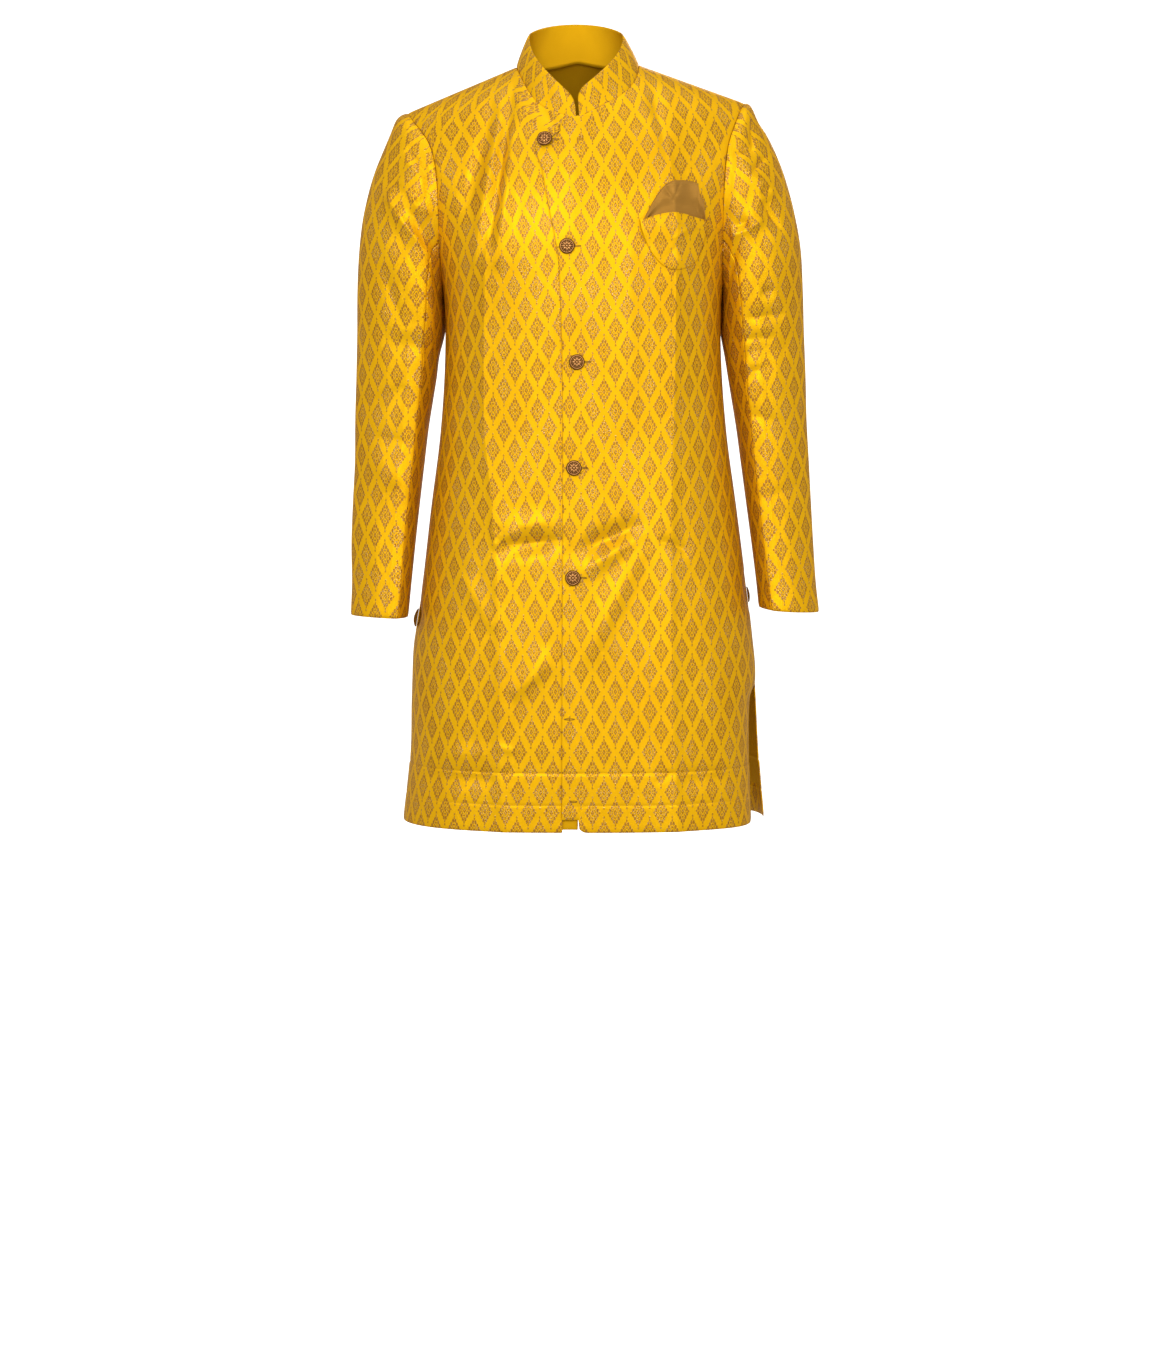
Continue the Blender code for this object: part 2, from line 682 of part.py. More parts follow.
def point_outwards(normals, grid, centre):
    """Turn the normals of a whole grid so that they point away from a centre line."""
    away = grid - centre
    if np.sum(normals * away) < 0:
        return -normals
    return normals


def draw_border(points, towards, amount):
    """Move a border at right angles to itself, towards the row or column beside it."""
    tangent = np.gradient(points, axis=0)
    tangent /= np.linalg.norm(tangent, axis=1, keepdims=True)
    step = towards - points
    step -= tangent * np.sum(step * tangent, axis=1, keepdims=True)
    return points + step / np.linalg.norm(step, axis=1, keepdims=True) * amount


def trim(grid, amount=SEAM_GAP / 2):
    """Draw the four borders in by half a seam gap."""
    trimmed = grid.copy()
    for border, beside in ((0, 1), (-1, -2)):
        trimmed[border] = draw_border(grid[border], grid[beside], amount)
    base = trimmed.copy()
    for border, beside in ((0, 1), (-1, -2)):
        trimmed[:, border] = draw_border(base[:, border], base[:, beside], amount)
    return trimmed


def wall(name, outer, inner, material):
    """A closed wall between two grids of the same rows and columns."""
    rows, columns = outer.shape[:2]
    count = rows * columns
    points = np.vstack((outer.reshape(-1, 3), inner.reshape(-1, 3)))
    faces = []

    def index(r, c):
        return r * columns + c

    for r in range(rows - 1):
        for c in range(columns - 1):
            a = index(r, c)
            b = index(r, c + 1)
            d = index(r + 1, c)
            e = index(r + 1, c + 1)
            faces += [(a, d, b), (b, d, e)]
            faces += [(a + count, b + count, d + count), (b + count, e + count, d + count)]
    border = [index(0, c) for c in range(columns)]
    border += [index(r, columns - 1) for r in range(1, rows)]
    border += [index(rows - 1, c) for c in range(columns - 2, -1, -1)]
    border += [index(r, 0) for r in range(rows - 2, 0, -1)]
    for i, a in enumerate(border):
        b = border[(i + 1) % len(border)]
        faces += [(a, b, a + count), (b, b + count, a + count)]
    return solid(name, points, faces, material)


def solid(name, points, faces, material):
    """A mesh object with its faces turned outwards."""
    corners = points[np.array(faces)]
    volume = np.einsum("ij,ij->i", corners[:, 0], np.cross(corners[:, 1], corners[:, 2])).sum()
    if volume < 0:
        faces = [tuple(reversed(face)) for face in faces]
    mesh = bpy.data.meshes.new(name)
    mesh.from_pydata([tuple(point) for point in points], [], faces)
    mesh.update()
    mesh.shade_smooth()
    mesh.set_sharp_from_angle(angle=math.radians(40))
    mesh.materials.append(material)
    made = bpy.data.objects.new(name, mesh)
    bpy.context.collection.objects.link(made)
    made.parent = coat
    return made


def make_material(name, colour, roughness, metallic):
    material = bpy.data.materials.new(name)
    material.use_nodes = True
    surface = material.node_tree.nodes["Principled BSDF"]
    surface.inputs["Base Color"].default_value = (*colour, 1.0)
    surface.inputs["Roughness"].default_value = roughness
    surface.inputs["Metallic"].default_value = metallic
    return material


def flatten_seam_normals(normals, side_column, ridge_columns):
    """At the side and shoulder seams both pieces share one direction, with no part along Y."""
    for r in range(normals.shape[0]):
        if r >= ARMHOLE_STEPS:
            normals[r, side_column, 1] = 0
            normals[r, side_column] = unit(normals[r, side_column])
    for c in ridge_columns:
        normals[0, c, 1] = 0
        normals[0, c] = unit(normals[0, c])


def build_front(side):
    grid = front_panel(side)
    normals = point_outwards(grid_normals(grid), grid, np.array((0.0, 0.0, -0.5)))
    last = grid.shape[1] - 1
    flatten_seam_normals(normals, last, range(last - OUTER_STEPS, last + 1))
    outer = trim(grid)
    wall("front_" + side.name, outer, outer - normals * WALL, brocade)
    return grid[0][np.argsort(grid[0][:, 0])]


def build_back():
    grid = back_panel()
    normals = point_outwards(grid_normals(grid), grid, np.array((0.0, 0.0, -0.5)))
    last = grid.shape[1] - 1
    ridge = [c for c in range(last + 1) if abs(grid[0, c, 0] - NECK_X) >= NECK_HALF_WIDTH - 1e-4]
    flatten_seam_normals(normals, 0, ridge)
    flatten_seam_normals(normals, last, ())
    outer = trim(grid)
    wall("back", outer, outer - normals * WALL, brocade)
    return grid[0]


def sleeve_angles():
    """Steps round a sleeve in radians from its outside, forwards; the same as the armhole rows."""
    return [math.pi * i / ARMHOLE_STEPS for i in range(2 * ARMHOLE_STEPS)]


def armhole_point(side, angle):
    """A point of the armhole seam, which the panels end at and the sleeve starts from."""
    share = (1 - math.cos(angle)) / 2
    top = armhole_end(side)[1]
    z = top + (ARMPIT_Z - top) * share
    back = angle > math.pi
    x = outer_x(z, side, back)
    return back_point(x, z) if back else front_point(x, z)


def section_point(section, angle):
    cosine = math.cos(angle)
    sine = math.sin(angle)
    reach = math.copysign(abs(cosine) ** section.pinch, cosine)
    middle_x = (section.outer_x + section.inner_x) / 2
    middle_z = (section.outer_z + section.inner_z) / 2
    inwards = -math.copysign(1.0, section.outer_x)
    x = middle_x + (section.outer_x - section.inner_x) / 2 * reach + inwards * section.tip * sine * sine
    z = middle_z + (section.outer_z - section.inner_z) / 2 * reach
    return np.array((x, section.centre_y - section.depth * sine, z))


def wrinkle_height(wrinkles, angle, down, length, girth):
    total = 0.0
    degrees = math.degrees(angle)
    for line in wrinkles:
        ax = (line.angle1 - line.angle0) / 360 * girth
        az = (line.down1 - line.down0) * length
        px = (degrees - line.angle0) / 360 * girth
        pz = (down - line.down0) * length
        along = (px * ax + pz * az) / (ax * ax + az * az)
        inside = min(max(along, 0.0), 1.0)
        away = math.hypot(px - inside * ax, pz - inside * az)
        if away < 3 * line.width:
            total += line.height * end_fade(along) * math.exp(-((away / line.width) ** 2))
    return total


def sleeve_grid(side, sections, wrinkles):
    angles = sleeve_angles()
    first = sections[0]
    rows = []
    for i, section in enumerate(sections):
        keep = max(1 - i / SLEEVE_BLEND_ROWS, 0.0) ** SLEEVE_BLEND_POWER
        row = []
        for angle in angles:
            offset = armhole_point(side, angle) - section_point(first, angle)
            row.append(section_point(section, angle) + offset * keep)
        rows.append(row)
    grid = np.array(rows)
    normals = point_outwards(grid_normals(grid, wrap=True), grid, grid.mean(axis=1, keepdims=True))
    for i in range(len(sections)):
        down = i / (len(sections) - 1)
        for c, angle in enumerate(angles):
            height = wrinkle_height(wrinkles, angle, down, SLEEVE_LENGTH, SLEEVE_GIRTH)
            grid[i, c] += normals[i, c] * height * smooth(0.0, WRINKLES_START, down)
    normals = point_outwards(grid_normals(grid, wrap=True), grid, grid.mean(axis=1, keepdims=True))
    return grid, normals


def build_sleeve(side, sections, wrinkles):
    grid, normals = sleeve_grid(side, sections, wrinkles)
    columns = grid.shape[1]
    front_seam = ARMHOLE_STEPS - UNDER_SLEEVE_COLUMNS
    back_seam = ARMHOLE_STEPS + UNDER_SLEEVE_COLUMNS
    under = list(range(front_seam, back_seam + 1))
    over = [c % columns for c in range(back_seam, columns + front_seam + 1)]
    for part, picked in (("sleeve_top_", over), ("sleeve_under_", under)):
        outer = trim(grid[:, picked])
        inner = outer - normals[:, picked] * WALL
        wall(part + side.name, outer, inner, brocade)


def collar_angles():
    """Steps round the neck from one front end to the other, closer at the rounded ends."""
    radius = NECK_HALF_WIDTH
    start = COLLAR_FRONT_GAP / 2 / radius
    corner = COLLAR_CORNER_RADIUS / radius
    near = [start + corner * share for share in (0.0, 0.12, 0.35, 0.65, 1.0)]
    far = [start + corner + (math.pi - start - corner) * i / 12 for i in range(1, 13)]
    half = near + far
    return half + [2 * math.pi - angle for angle in reversed(half[:-1])]


def along_neckline(row, x):
    """The point of a panel's top row at x."""
    xs = row[:, 0]
    return np.array([np.interp(x, xs, row[:, axis]) for axis in range(3)])


def collar_base(angle, necklines):
    """On the panels' top edges; the angle runs from the middle of the front through +X."""
    x = NECK_X + NECK_HALF_WIDTH * math.sin(angle)
    if math.cos(angle) < 0:
        return along_neckline(necklines["back"], x)
    if x > spline(FRONT_EDGE, "edge", top_height(x, False)):
        point = along_neckline(necklines["left"], x)
        return point - hull_normal(x, point[2], False) * overlap_lift(x, point[2])
    return along_neckline(necklines["right"], x)


def collar_top(angle):
    across = math.sin(angle)
    forward = math.cos(angle)
    x = COLLAR_TOP_X + COLLAR_TOP_HALF_WIDTH * across
    if forward > 0:
        y = COLLAR_TOP_FRONT_Y * forward
        lowest = COLLAR_TOP_FRONT_Z_LEFT if across > 0 else COLLAR_TOP_FRONT_Z_RIGHT
        turned = math.acos(forward) / (math.pi / 2)
        z = lowest + (COLLAR_TOP_SIDE_Z - lowest) * turned
    else:
        y = -COLLAR_TOP_BACK_Y * forward
        z = COLLAR_TOP_SIDE_Z + (COLLAR_TOP_BACK_Z - COLLAR_TOP_SIDE_Z) * -forward
    return np.array((x, y, z))


def corner_cut(angle):
    """How much of the collar's height the rounded front ends take away."""
    from_front = min(angle, 2 * math.pi - angle) * NECK_HALF_WIDTH - COLLAR_FRONT_GAP / 2
    t = 1 - from_front / COLLAR_CORNER_RADIUS
    if t <= 0:
        return 0.0
    return COLLAR_CORNER_RADIUS * (1 - math.sqrt(1 - min(t, 1.0) ** 2))


def build_collar(necklines):
    rows = []
    for share in (0.0, 0.33, 0.67, 1.0):
        row = []
        for angle in collar_angles():
            base = collar_base(angle, necklines)
            rise = collar_top(angle) - base
            height = np.linalg.norm(rise)
            reach = (height - corner_cut(angle)) / height
            row.append(base + rise * share * reach)
        rows.append(row)
    grid = np.array(rows)
    normals = point_outwards(grid_normals(grid), grid, np.array((NECK_X, -0.01, 0.0)))
    outer = trim(grid)
    return wall("collar", outer, outer - normals * COLLAR_WALL, brocade)


def facing_place(offset):
    """A column of the front facing; the first lies behind the under front, the last shows."""
    def place(z):
        under = front_edge_x(z, False)
        if offset < FACING_COLUMNS[-1]:
            return under + offset
        return max(under + FACING_LEAST, spline(FRONT_EDGE, "edge", z) + offset)
    return place


def build_front_facing():
    """The satin strip that runs on from the under front's edge, seen at the cut-back corner."""
    outer = []
    inner = []
    lift = -(WALL + BEHIND_GAP)
    for offset in FACING_COLUMNS:
        places = column(facing_place(offset), IMAGE_LEFT, False)
        clear = [(x, min(max(z, HEM_Z + FACING_HEM), places[0][1] - FACING_TOP)) for x, z in places]
        outer.append([front_point(x, z, lift) for x, z in clear[1:]])
        inner.append([front_point(x, z, lift - SATIN_WALL) for x, z in clear[1:]])
    return wall("front_facing", np.array(outer), np.array(inner), satin)


def pocket_point(across, z, lift):
    left = spline(POCKET, "left", z)
    right = spline(POCKET, "right", z)
    x = left + (right - left) * across
    return front_point(x, z, lift + overlap_lift(x, z))


def mouth_rise(across):
    return POCKET_MOUTH_RISE * math.sin(math.pi * across) ** 1.5


def build_chest_pocket():
    outer = []
    inner = []
    columns = 10
    rows = 8
    top = POCKET[0].z
    bottom = POCKET[-1].z
    for r in range(rows + 1):
        share = r / rows
        outer_row = []
        inner_row = []
        for c in range(columns + 1):
            across = c / columns
            z = top + (bottom - top) * share + mouth_rise(across) * (1 - share)
            room = (SQUARE_WALL + 2 * LAID_GAP) * (1 - smooth(POCKET_CLOSE, POCKET_FLAT, share))
            lift = LAID_GAP + room
            outer_row.append(pocket_point(across, z, lift + WALL))
            inner_row.append(pocket_point(across, z, lift))
        outer.append(outer_row)
        inner.append(inner_row)
    return wall("chest_pocket", np.array(outer), np.array(inner), brocade)


def build_pocket_square():
    """A folded satin square: its foot is in the pocket and its peaks stand above the mouth."""
    outer = []
    inner = []
    columns = 14
    rows = 5
    for r in range(rows + 1):
        share = r / rows
        outer_row = []
        inner_row = []
        for c in range(columns + 1):
            across = SQUARE_START + SQUARE_WIDTH * c / columns
            mouth = POCKET[0].z + mouth_rise(across)
            foot = mouth - SQUARE_TUCK
            peak = mouth + spline(SQUARE_TOP, "height", across)
            z = foot + (peak - foot) * share
            above = smooth(0.30, 0.70, share)
            pleat = PLEAT * above * (1 + math.sin(across * PLEAT_TURN + share * PLEAT_SLANT))
            outer_row.append(pocket_point(across, z, LAID_GAP + SQUARE_WALL + pleat))
            inner_row.append(pocket_point(across, z, LAID_GAP))
        outer.append(outer_row)
        inner.append(inner_row)
    return wall("pocket_square", np.array(outer), np.array(inner), satin)


def build_side_facing(facing):
    """A crescent of satin that shows in the mouth of a side pocket."""
    side = facing.side
    outer = []
    inner = []
    steps = 6
    for i in range(steps + 1):
        share = i / steps
        z = facing.top + (facing.bottom - facing.top) * share
        bulge = math.sin(math.pi * (share * 0.9 + 0.05))
        side_x = outer_x(z, side, False)
        root = side_x + side.sign * FACING_SEAT
        reach = root + side.sign * (facing.reach * bulge + SATIN_WALL / 2)
        y = -FACING_SEAT - SATIN_WALL * (1 + FACING_BULGE * bulge)
        outer.append([(root, y, z), (reach, y, z)])
        inner.append([(root, y + SATIN_WALL, z), (reach, y + SATIN_WALL, z)])
    return wall("side_facing_" + side.name, np.array(outer), np.array(inner), satin)


def build_button(number, spot):
    """A domed button on a short shank, turned round its own axis and set on the front."""
    profile = [
        (0.0, 0.0),
        (SHANK_RADIUS, 0.0),
        (SHANK_RADIUS, SHANK_HEIGHT),
        (BUTTON_RADIUS * 0.80, SHANK_HEIGHT + 0.0002),
        (BUTTON_RADIUS, SHANK_HEIGHT + 0.0008),
        (BUTTON_RADIUS, SHANK_HEIGHT + BUTTON_RIM),
        (BUTTON_RADIUS * 0.84, SHANK_HEIGHT + BUTTON_RIM + 0.0009),
        (BUTTON_RADIUS * 0.55, SHANK_HEIGHT + BUTTON_DOME),
        (0.0, SHANK_HEIGHT + BUTTON_DOME + 0.0004),
    ]
    sides = 16
    lift = overlap_lift(spot.x, spot.z) + BUTTON_GAP
    centre = front_point(spot.x, spot.z, lift)
    axis = hull_normal(spot.x, spot.z, False)
    across = unit(np.cross(np.array((0.0, 0.0, 1.0)), axis))
    up = np.cross(axis, across)
    points = [centre]
    for radius, height in profile[1:-1]:
        for i in range(sides):
            angle = 2 * math.pi * i / sides
            ray = across * math.cos(angle) + up * math.sin(angle)
            points.append(centre + ray * radius + axis * height)
    points.append(centre + axis * profile[-1][1])
    rings = len(profile) - 2
    faces = []
    for i in range(sides):
        j = (i + 1) % sides
        faces.append((0, 1 + j, 1 + i))
        for ring in range(rings - 1):
            a = 1 + ring * sides
            b = a + sides
            faces += [(a + i, a + j, b + i), (a + j, b + j, b + i)]
        last = 1 + (rings - 1) * sides
        faces.append((last + i, last + j, len(points) - 1))
    return solid("button_%d" % number, np.array(points), faces, metal)


for leftover in list(bpy.data.objects):
    bpy.data.objects.remove(leftover, do_unlink=True)

SHOULDER_POINTS = {
    side.name: column_top(lambda z, side=side: outer_x(z, side, False), False) for side in SIDES
}

coat = bpy.data.objects.new("coat", None)
bpy.context.collection.objects.link(coat)

brocade = make_material("brocade", (0.86, 0.56, 0.03), 0.42, 0.15)
satin = make_material("satin", (0.42, 0.24, 0.06), 0.38, 0.0)
metal = make_material("button_metal", (0.33, 0.19, 0.10), 0.45, 0.85)

top_edges = {panel_side.name: build_front(panel_side) for panel_side in SIDES}
top_edges["back"] = build_back()
build_sleeve(IMAGE_LEFT, RIGHT_SLEEVE, RIGHT_WRINKLES)
build_sleeve(IMAGE_RIGHT, LEFT_SLEEVE, LEFT_WRINKLES)
build_collar(top_edges)
build_front_facing()
build_chest_pocket()
build_pocket_square()
for pocket_facing in SIDE_FACINGS:
    build_side_facing(pocket_facing)
for order, place_on_front in enumerate(BUTTONS, 1):
    build_button(order, place_on_front)
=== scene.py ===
"""The finished look of a sherwani coat in yellow brocade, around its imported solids.

Metres, +Z up. The front faces -Y. "Left" and "right" in names are the wearer's.
"""
import math
from collections import namedtuple

import bmesh
import bpy
import numpy as np
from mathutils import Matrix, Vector


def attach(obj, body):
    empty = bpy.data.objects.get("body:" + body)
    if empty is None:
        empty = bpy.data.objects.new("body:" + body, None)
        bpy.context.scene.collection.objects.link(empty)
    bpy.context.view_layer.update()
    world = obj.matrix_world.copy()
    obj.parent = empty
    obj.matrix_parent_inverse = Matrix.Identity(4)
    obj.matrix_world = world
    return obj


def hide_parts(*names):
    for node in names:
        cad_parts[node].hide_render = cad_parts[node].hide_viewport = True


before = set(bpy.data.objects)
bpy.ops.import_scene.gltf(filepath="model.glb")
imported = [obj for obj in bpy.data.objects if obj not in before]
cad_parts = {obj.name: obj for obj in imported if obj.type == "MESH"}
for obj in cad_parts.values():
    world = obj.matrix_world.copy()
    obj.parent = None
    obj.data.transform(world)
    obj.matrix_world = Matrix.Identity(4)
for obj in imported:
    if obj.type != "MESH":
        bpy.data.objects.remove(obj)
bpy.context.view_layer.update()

# Cloth
WALL = 0.0018
SEAM_GAP = 0.0002
LAID_GAP = 0.0008
BUTTON_GAP = 0.0007
BEHIND_GAP = 0.0009
OVERLAP_GAP = 0.0005
COLLAR_WALL = 0.0024
SATIN_WALL = 0.0012

# Main lengths
HEM_Z = -0.966
ARMPIT_Z = -0.283
HEM_TURN_Z = -0.8915
HEM_STITCH_Z = -0.9318
ROUNDNESS = 2.4
NORMAL_STEP = 0.002

# Neck and shoulder line
NECK_X = -0.0073
NECK_HALF_WIDTH = 0.0788
NECK_RIDGE_RISE = 0.0300
NECK_RIDGE_BEND = 0.10
NECK_BACK_DROP = 0.0185
BACK_LINE_SPREAD = 0.030
BACK_LINE_END_Z = -0.30
SHOULDER_CAP_FRONT = 0.25
SHOULDER_CAP_BACK = 0.16

# Collar
COLLAR_TOP_X = -0.0095
COLLAR_TOP_HALF_WIDTH = 0.0612
COLLAR_TOP_FRONT_Y = -0.0800
COLLAR_TOP_BACK_Y = 0.0560
COLLAR_TOP_SIDE_Z = 0.0376
COLLAR_TOP_FRONT_Z_RIGHT = -0.0455
COLLAR_TOP_FRONT_Z_LEFT = -0.0375
COLLAR_TOP_BACK_Z = 0.0560
COLLAR_CORNER_RADIUS = 0.0110
COLLAR_FRONT_GAP = 0.0040

# The under panel's neckline lies a little lower where the other one covers it
UNDERLAP_DROP = 0.0025
UNDERLAP_MARGIN = 0.002
UNDERLAP_EASE = (1.0, 0.6, 0.3)


def table(kind, rows):
    """Rows of plain numbers, given the names of their columns."""
    return [kind(*row) for row in rows]


Side = namedtuple("Side", "name sign shoulder_x shoulder_z slope")
IMAGE_LEFT = Side("right", -1, -0.2243, -0.0596, 0.417)
IMAGE_RIGHT = Side("left", 1, 0.2050, -0.0469, 0.356)
SIDES = (IMAGE_LEFT, IMAGE_RIGHT)

# The front neckline: how far it lies below the shoulder line, across the neck
Neck = namedtuple("Neck", "across drop")
NECKLINE = table(Neck, (
    (-1, 0), (-0.96, 0.008), (-0.9, 0.02), (-0.81, 0.037), (-0.67, 0.0565), (-0.51, 0.0705),
    (-0.26, 0.0865), (0, 0.0985), (0.23, 0.0845), (0.47, 0.0665), (0.72, 0.0475), (0.89, 0.029),
    (0.96, 0.015), (1, 0),
))

Ring = namedtuple("Ring", "z centre half_width front back")
RINGS = table(Ring, (
    (0.03, -0.0095, 0.26, 0.108, 0.096), (-0.05, -0.009, 0.248, 0.116, 0.104),
    (-0.12, -0.0075, 0.223, 0.126, 0.11), (-0.2, -0.0045, 0.196, 0.134, 0.111),
    (-0.283, -0.001, 0.179, 0.137, 0.107), (-0.361, -0.0005, 0.1768, 0.137, 0.102),
    (-0.464, 0, 0.1836, 0.138, 0.102), (-0.567, 0.0004, 0.1972, 0.141, 0.116),
    (-0.67, 0.001, 0.21, 0.146, 0.131), (-0.735, 0, 0.2189, 0.149, 0.137),
    (-0.808, 0.0006, 0.2231, 0.151, 0.141), (-0.881, 0.0016, 0.226, 0.153, 0.144),
    (-0.966, 0.0006, 0.2342, 0.155, 0.149),
))

# The armhole seam, from the shoulder point to the armpit
Seam = namedtuple("Seam", "z front_right front_left back_right back_left")
ARMHOLE = table(Seam, (
    (-0.045, -0.229, 0.206, -0.229, 0.206), (-0.06, -0.2241, 0.1985, -0.2241, 0.2),
    (-0.097, -0.1975, 0.1848, -0.204, 0.192), (-0.13, -0.1875, 0.1797, -0.1965, 0.187),
    (-0.182, -0.1838, 0.177, -0.19, 0.183), (-0.235, -0.1828, 0.1768, -0.185, 0.18),
    (-0.283, -0.18, 0.178, -0.18, 0.178),
))

# The front edge of the overlapping panel and how far the other one runs on under it
Edge = namedtuple("Edge", "z edge underlap")
FRONT_EDGE = table(Edge, (
    (-0.06, -0.008, 0.004), (-0.0686, -0.0135, 0.0075), (-0.074, -0.0205, 0.0115),
    (-0.08, -0.0275, 0.0155), (-0.086, -0.031, 0.013), (-0.092, -0.0325, 0.0095), (-0.097, -0.038, 0.012),
    (-0.101, -0.05, 0.022), (-0.105, -0.0585, 0.029), (-0.11, -0.06, 0.03), (-0.135, -0.052, 0.024),
    (-0.165, -0.0465, 0.022), (-0.195, -0.041, 0.02), (-0.22, -0.0355, 0.018), (-0.255, -0.0305, 0.014),
    (-0.39, -0.0262, 0.012), (-0.64, -0.0262, 0.01), (-0.85, -0.0268, 0.004), (-0.966, -0.0268, 0),
))

# Where the overlapping panel comes down again beyond the other one's edge
LIFT_NEAR = 0.004
LIFT_FAR = 0.040
EDGE_FLARE = 0.0008
EDGE_FLARE_WIDTH = 0.006

# The pressed crease down each front, from the neck point
Crease = namedtuple("Crease", "z right left")
PRESSED = table(Crease, (
    (0, -0.0861, 0.0715), (-0.035, -0.093, 0.087), (-0.1, -0.106, 0.1045), (-0.2, -0.117, 0.112),
    (-0.3, -0.121, 0.113), (-0.46, -0.1215, 0.1105), (-0.56, -0.112, 0.109), (-0.72, -0.105, 0.109),
    (-0.88, -0.104, 0.114), (-0.966, -0.1005, 0.1178),
))

# How far a panel's side edge is drawn in, at the pocket mouths and the vents
Draw = namedtuple("Draw", "z front_right front_left back_right")
DRAWN_IN = table(Draw, (
    (-0.64, 0, 0, 0), (-0.668, 0, 0.002, 0), (-0.684, 0.0008, 0.002, 0), (-0.7, 0.0045, 0, 0),
    (-0.712, 0.0042, 0, 0), (-0.727, 0.0004, 0, 0), (-0.785, 0, 0, 0), (-0.808, 0, 0.0085, 0.003),
    (-0.881, 0, 0.0135, 0.006), (-0.966, 0, 0.0185, 0.009),
))
PULL_START = 0.35

# Folds: a line from one end to the other, its height outwards and its width
Fold = namedtuple("Fold", "x0 z0 x1 z1 height width")
FRONT_FOLDS = table(Fold, (
    (-0.094, -0.05, -0.117, -0.225, -0.005, 0.0085), (-0.112, -0.06, -0.146, -0.18, -0.0045, 0.0095),
    (-0.104, -0.06, -0.136, -0.25, 0.0035, 0.009), (-0.09, -0.09, -0.104, -0.25, 0.004, 0.01),
    (0.088, -0.035, 0.106, -0.12, -0.0035, 0.009), (0.055, -0.215, 0.052, -0.46, 0.0035, 0.016),
    (-0.108, -0.585, -0.03, -0.575, 0.003, 0.012), (-0.108, -0.615, -0.03, -0.602, -0.004, 0.01),
    (-0.018, -0.616, 0.066, -0.582, -0.0085, 0.012), (0.004, -0.74, 0.07, -0.612, 0.0035, 0.015),
    (-0.155, -0.645, -0.118, -0.708, 0.003, 0.012), (-0.085, -0.79, -0.042, -0.74, 0.0035, 0.011),
    (-0.205, -0.902, -0.11, -0.899, -0.003, 0.011), (-0.205, -0.872, -0.12, -0.868, 0.002, 0.012),
    (0.125, -0.899, 0.205, -0.901, -0.0026, 0.012), (-0.0581, -0.0494, -0.0332, -0.0829, -0.0024, 0.008),
    (-0.002, -0.64, 0.0718, -0.5875, 0.0055, 0.01),
))
BACK_FOLDS = table(Fold, (
    (-0.12, -0.12, -0.06, -0.33, -0.0035, 0.018), (0.115, -0.125, 0.065, -0.34, -0.0035, 0.018),
    (-0.1, -0.4, 0.1, -0.392, -0.003, 0.014), (-0.13, -0.612, 0.13, -0.602, -0.003, 0.012),
    (-0.05, -0.54, -0.075, -0.93, 0.004, 0.026), (0.06, -0.56, 0.08, -0.93, 0.004, 0.026),
))
PRESS_HEIGHT = 0.0058
PRESS_INSIDE = 0.032
PRESS_OUTSIDE = 0.016
# Between which heights each pressed crease begins
Begin = namedtuple("Begin", "top full")
PRESS_BEGINS = {"right": Begin(-0.10, -0.26), "left": Begin(-0.04, -0.10)}
PRESS_ROUND = 0.04

# How a fold fades at its ends, and where the folds lie flatter
FADE_SPAN = 0.8
FADE_START = 0.1
FADE_POWER = 0.7
CALM_LEVEL = 0.3
CALM_NEAR = 0.010
CALM_FAR = 0.035

# Sleeve sections: outer and inner ends seen from the front, then depth
Section = namedtuple("Section", "outer_x outer_z inner_x inner_z centre_y depth pinch tip")
RIGHT_SLEEVE = table(Section, (
    (-0.2243, -0.0596, -0.18, -0.283, 0, 0.062, 1, 0), (-0.233, -0.0628, -0.1806, -0.287, 0, 0.064, 1, 0),
    (-0.24, -0.07, -0.1812, -0.291, 0, 0.066, 1, 0),
    (-0.2475, -0.088, -0.1818, -0.296, 0, 0.068, 1.02, 0.001),
    (-0.2555, -0.1064, -0.1824, -0.302, 0.001, 0.069, 1.05, 0.002),
    (-0.2665, -0.133, -0.1812, -0.31, 0.001, 0.07, 1.08, 0.004),
    (-0.275, -0.16, -0.1808, -0.32, 0.002, 0.07, 1.12, 0.006),
    (-0.2832, -0.197, -0.1808, -0.333, 0.002, 0.07, 1.16, 0.009),
    (-0.2882, -0.24, -0.1826, -0.35, 0.003, 0.069, 1.2, 0.012),
    (-0.2906, -0.288, -0.1862, -0.37, 0.004, 0.067, 1.26, 0.014),
    (-0.2912, -0.34, -0.1888, -0.395, 0.005, 0.065, 1.32, 0.016),
    (-0.2925, -0.395, -0.1936, -0.425, 0.004, 0.063, 1.36, 0.017),
    (-0.2942, -0.45, -0.1995, -0.462, 0.002, 0.061, 1.38, 0.017),
    (-0.2947, -0.505, -0.205, -0.508, -0.002, 0.058, 1.4, 0.016),
    (-0.2972, -0.556, -0.2107, -0.557, -0.007, 0.056, 1.42, 0.015),
    (-0.299, -0.608, -0.2163, -0.608, -0.013, 0.053, 1.42, 0.014),
    (-0.2983, -0.66, -0.2218, -0.662, -0.019, 0.051, 1.42, 0.013),
    (-0.2998, -0.7, -0.2257, -0.703, -0.024, 0.049, 1.42, 0.012),
))
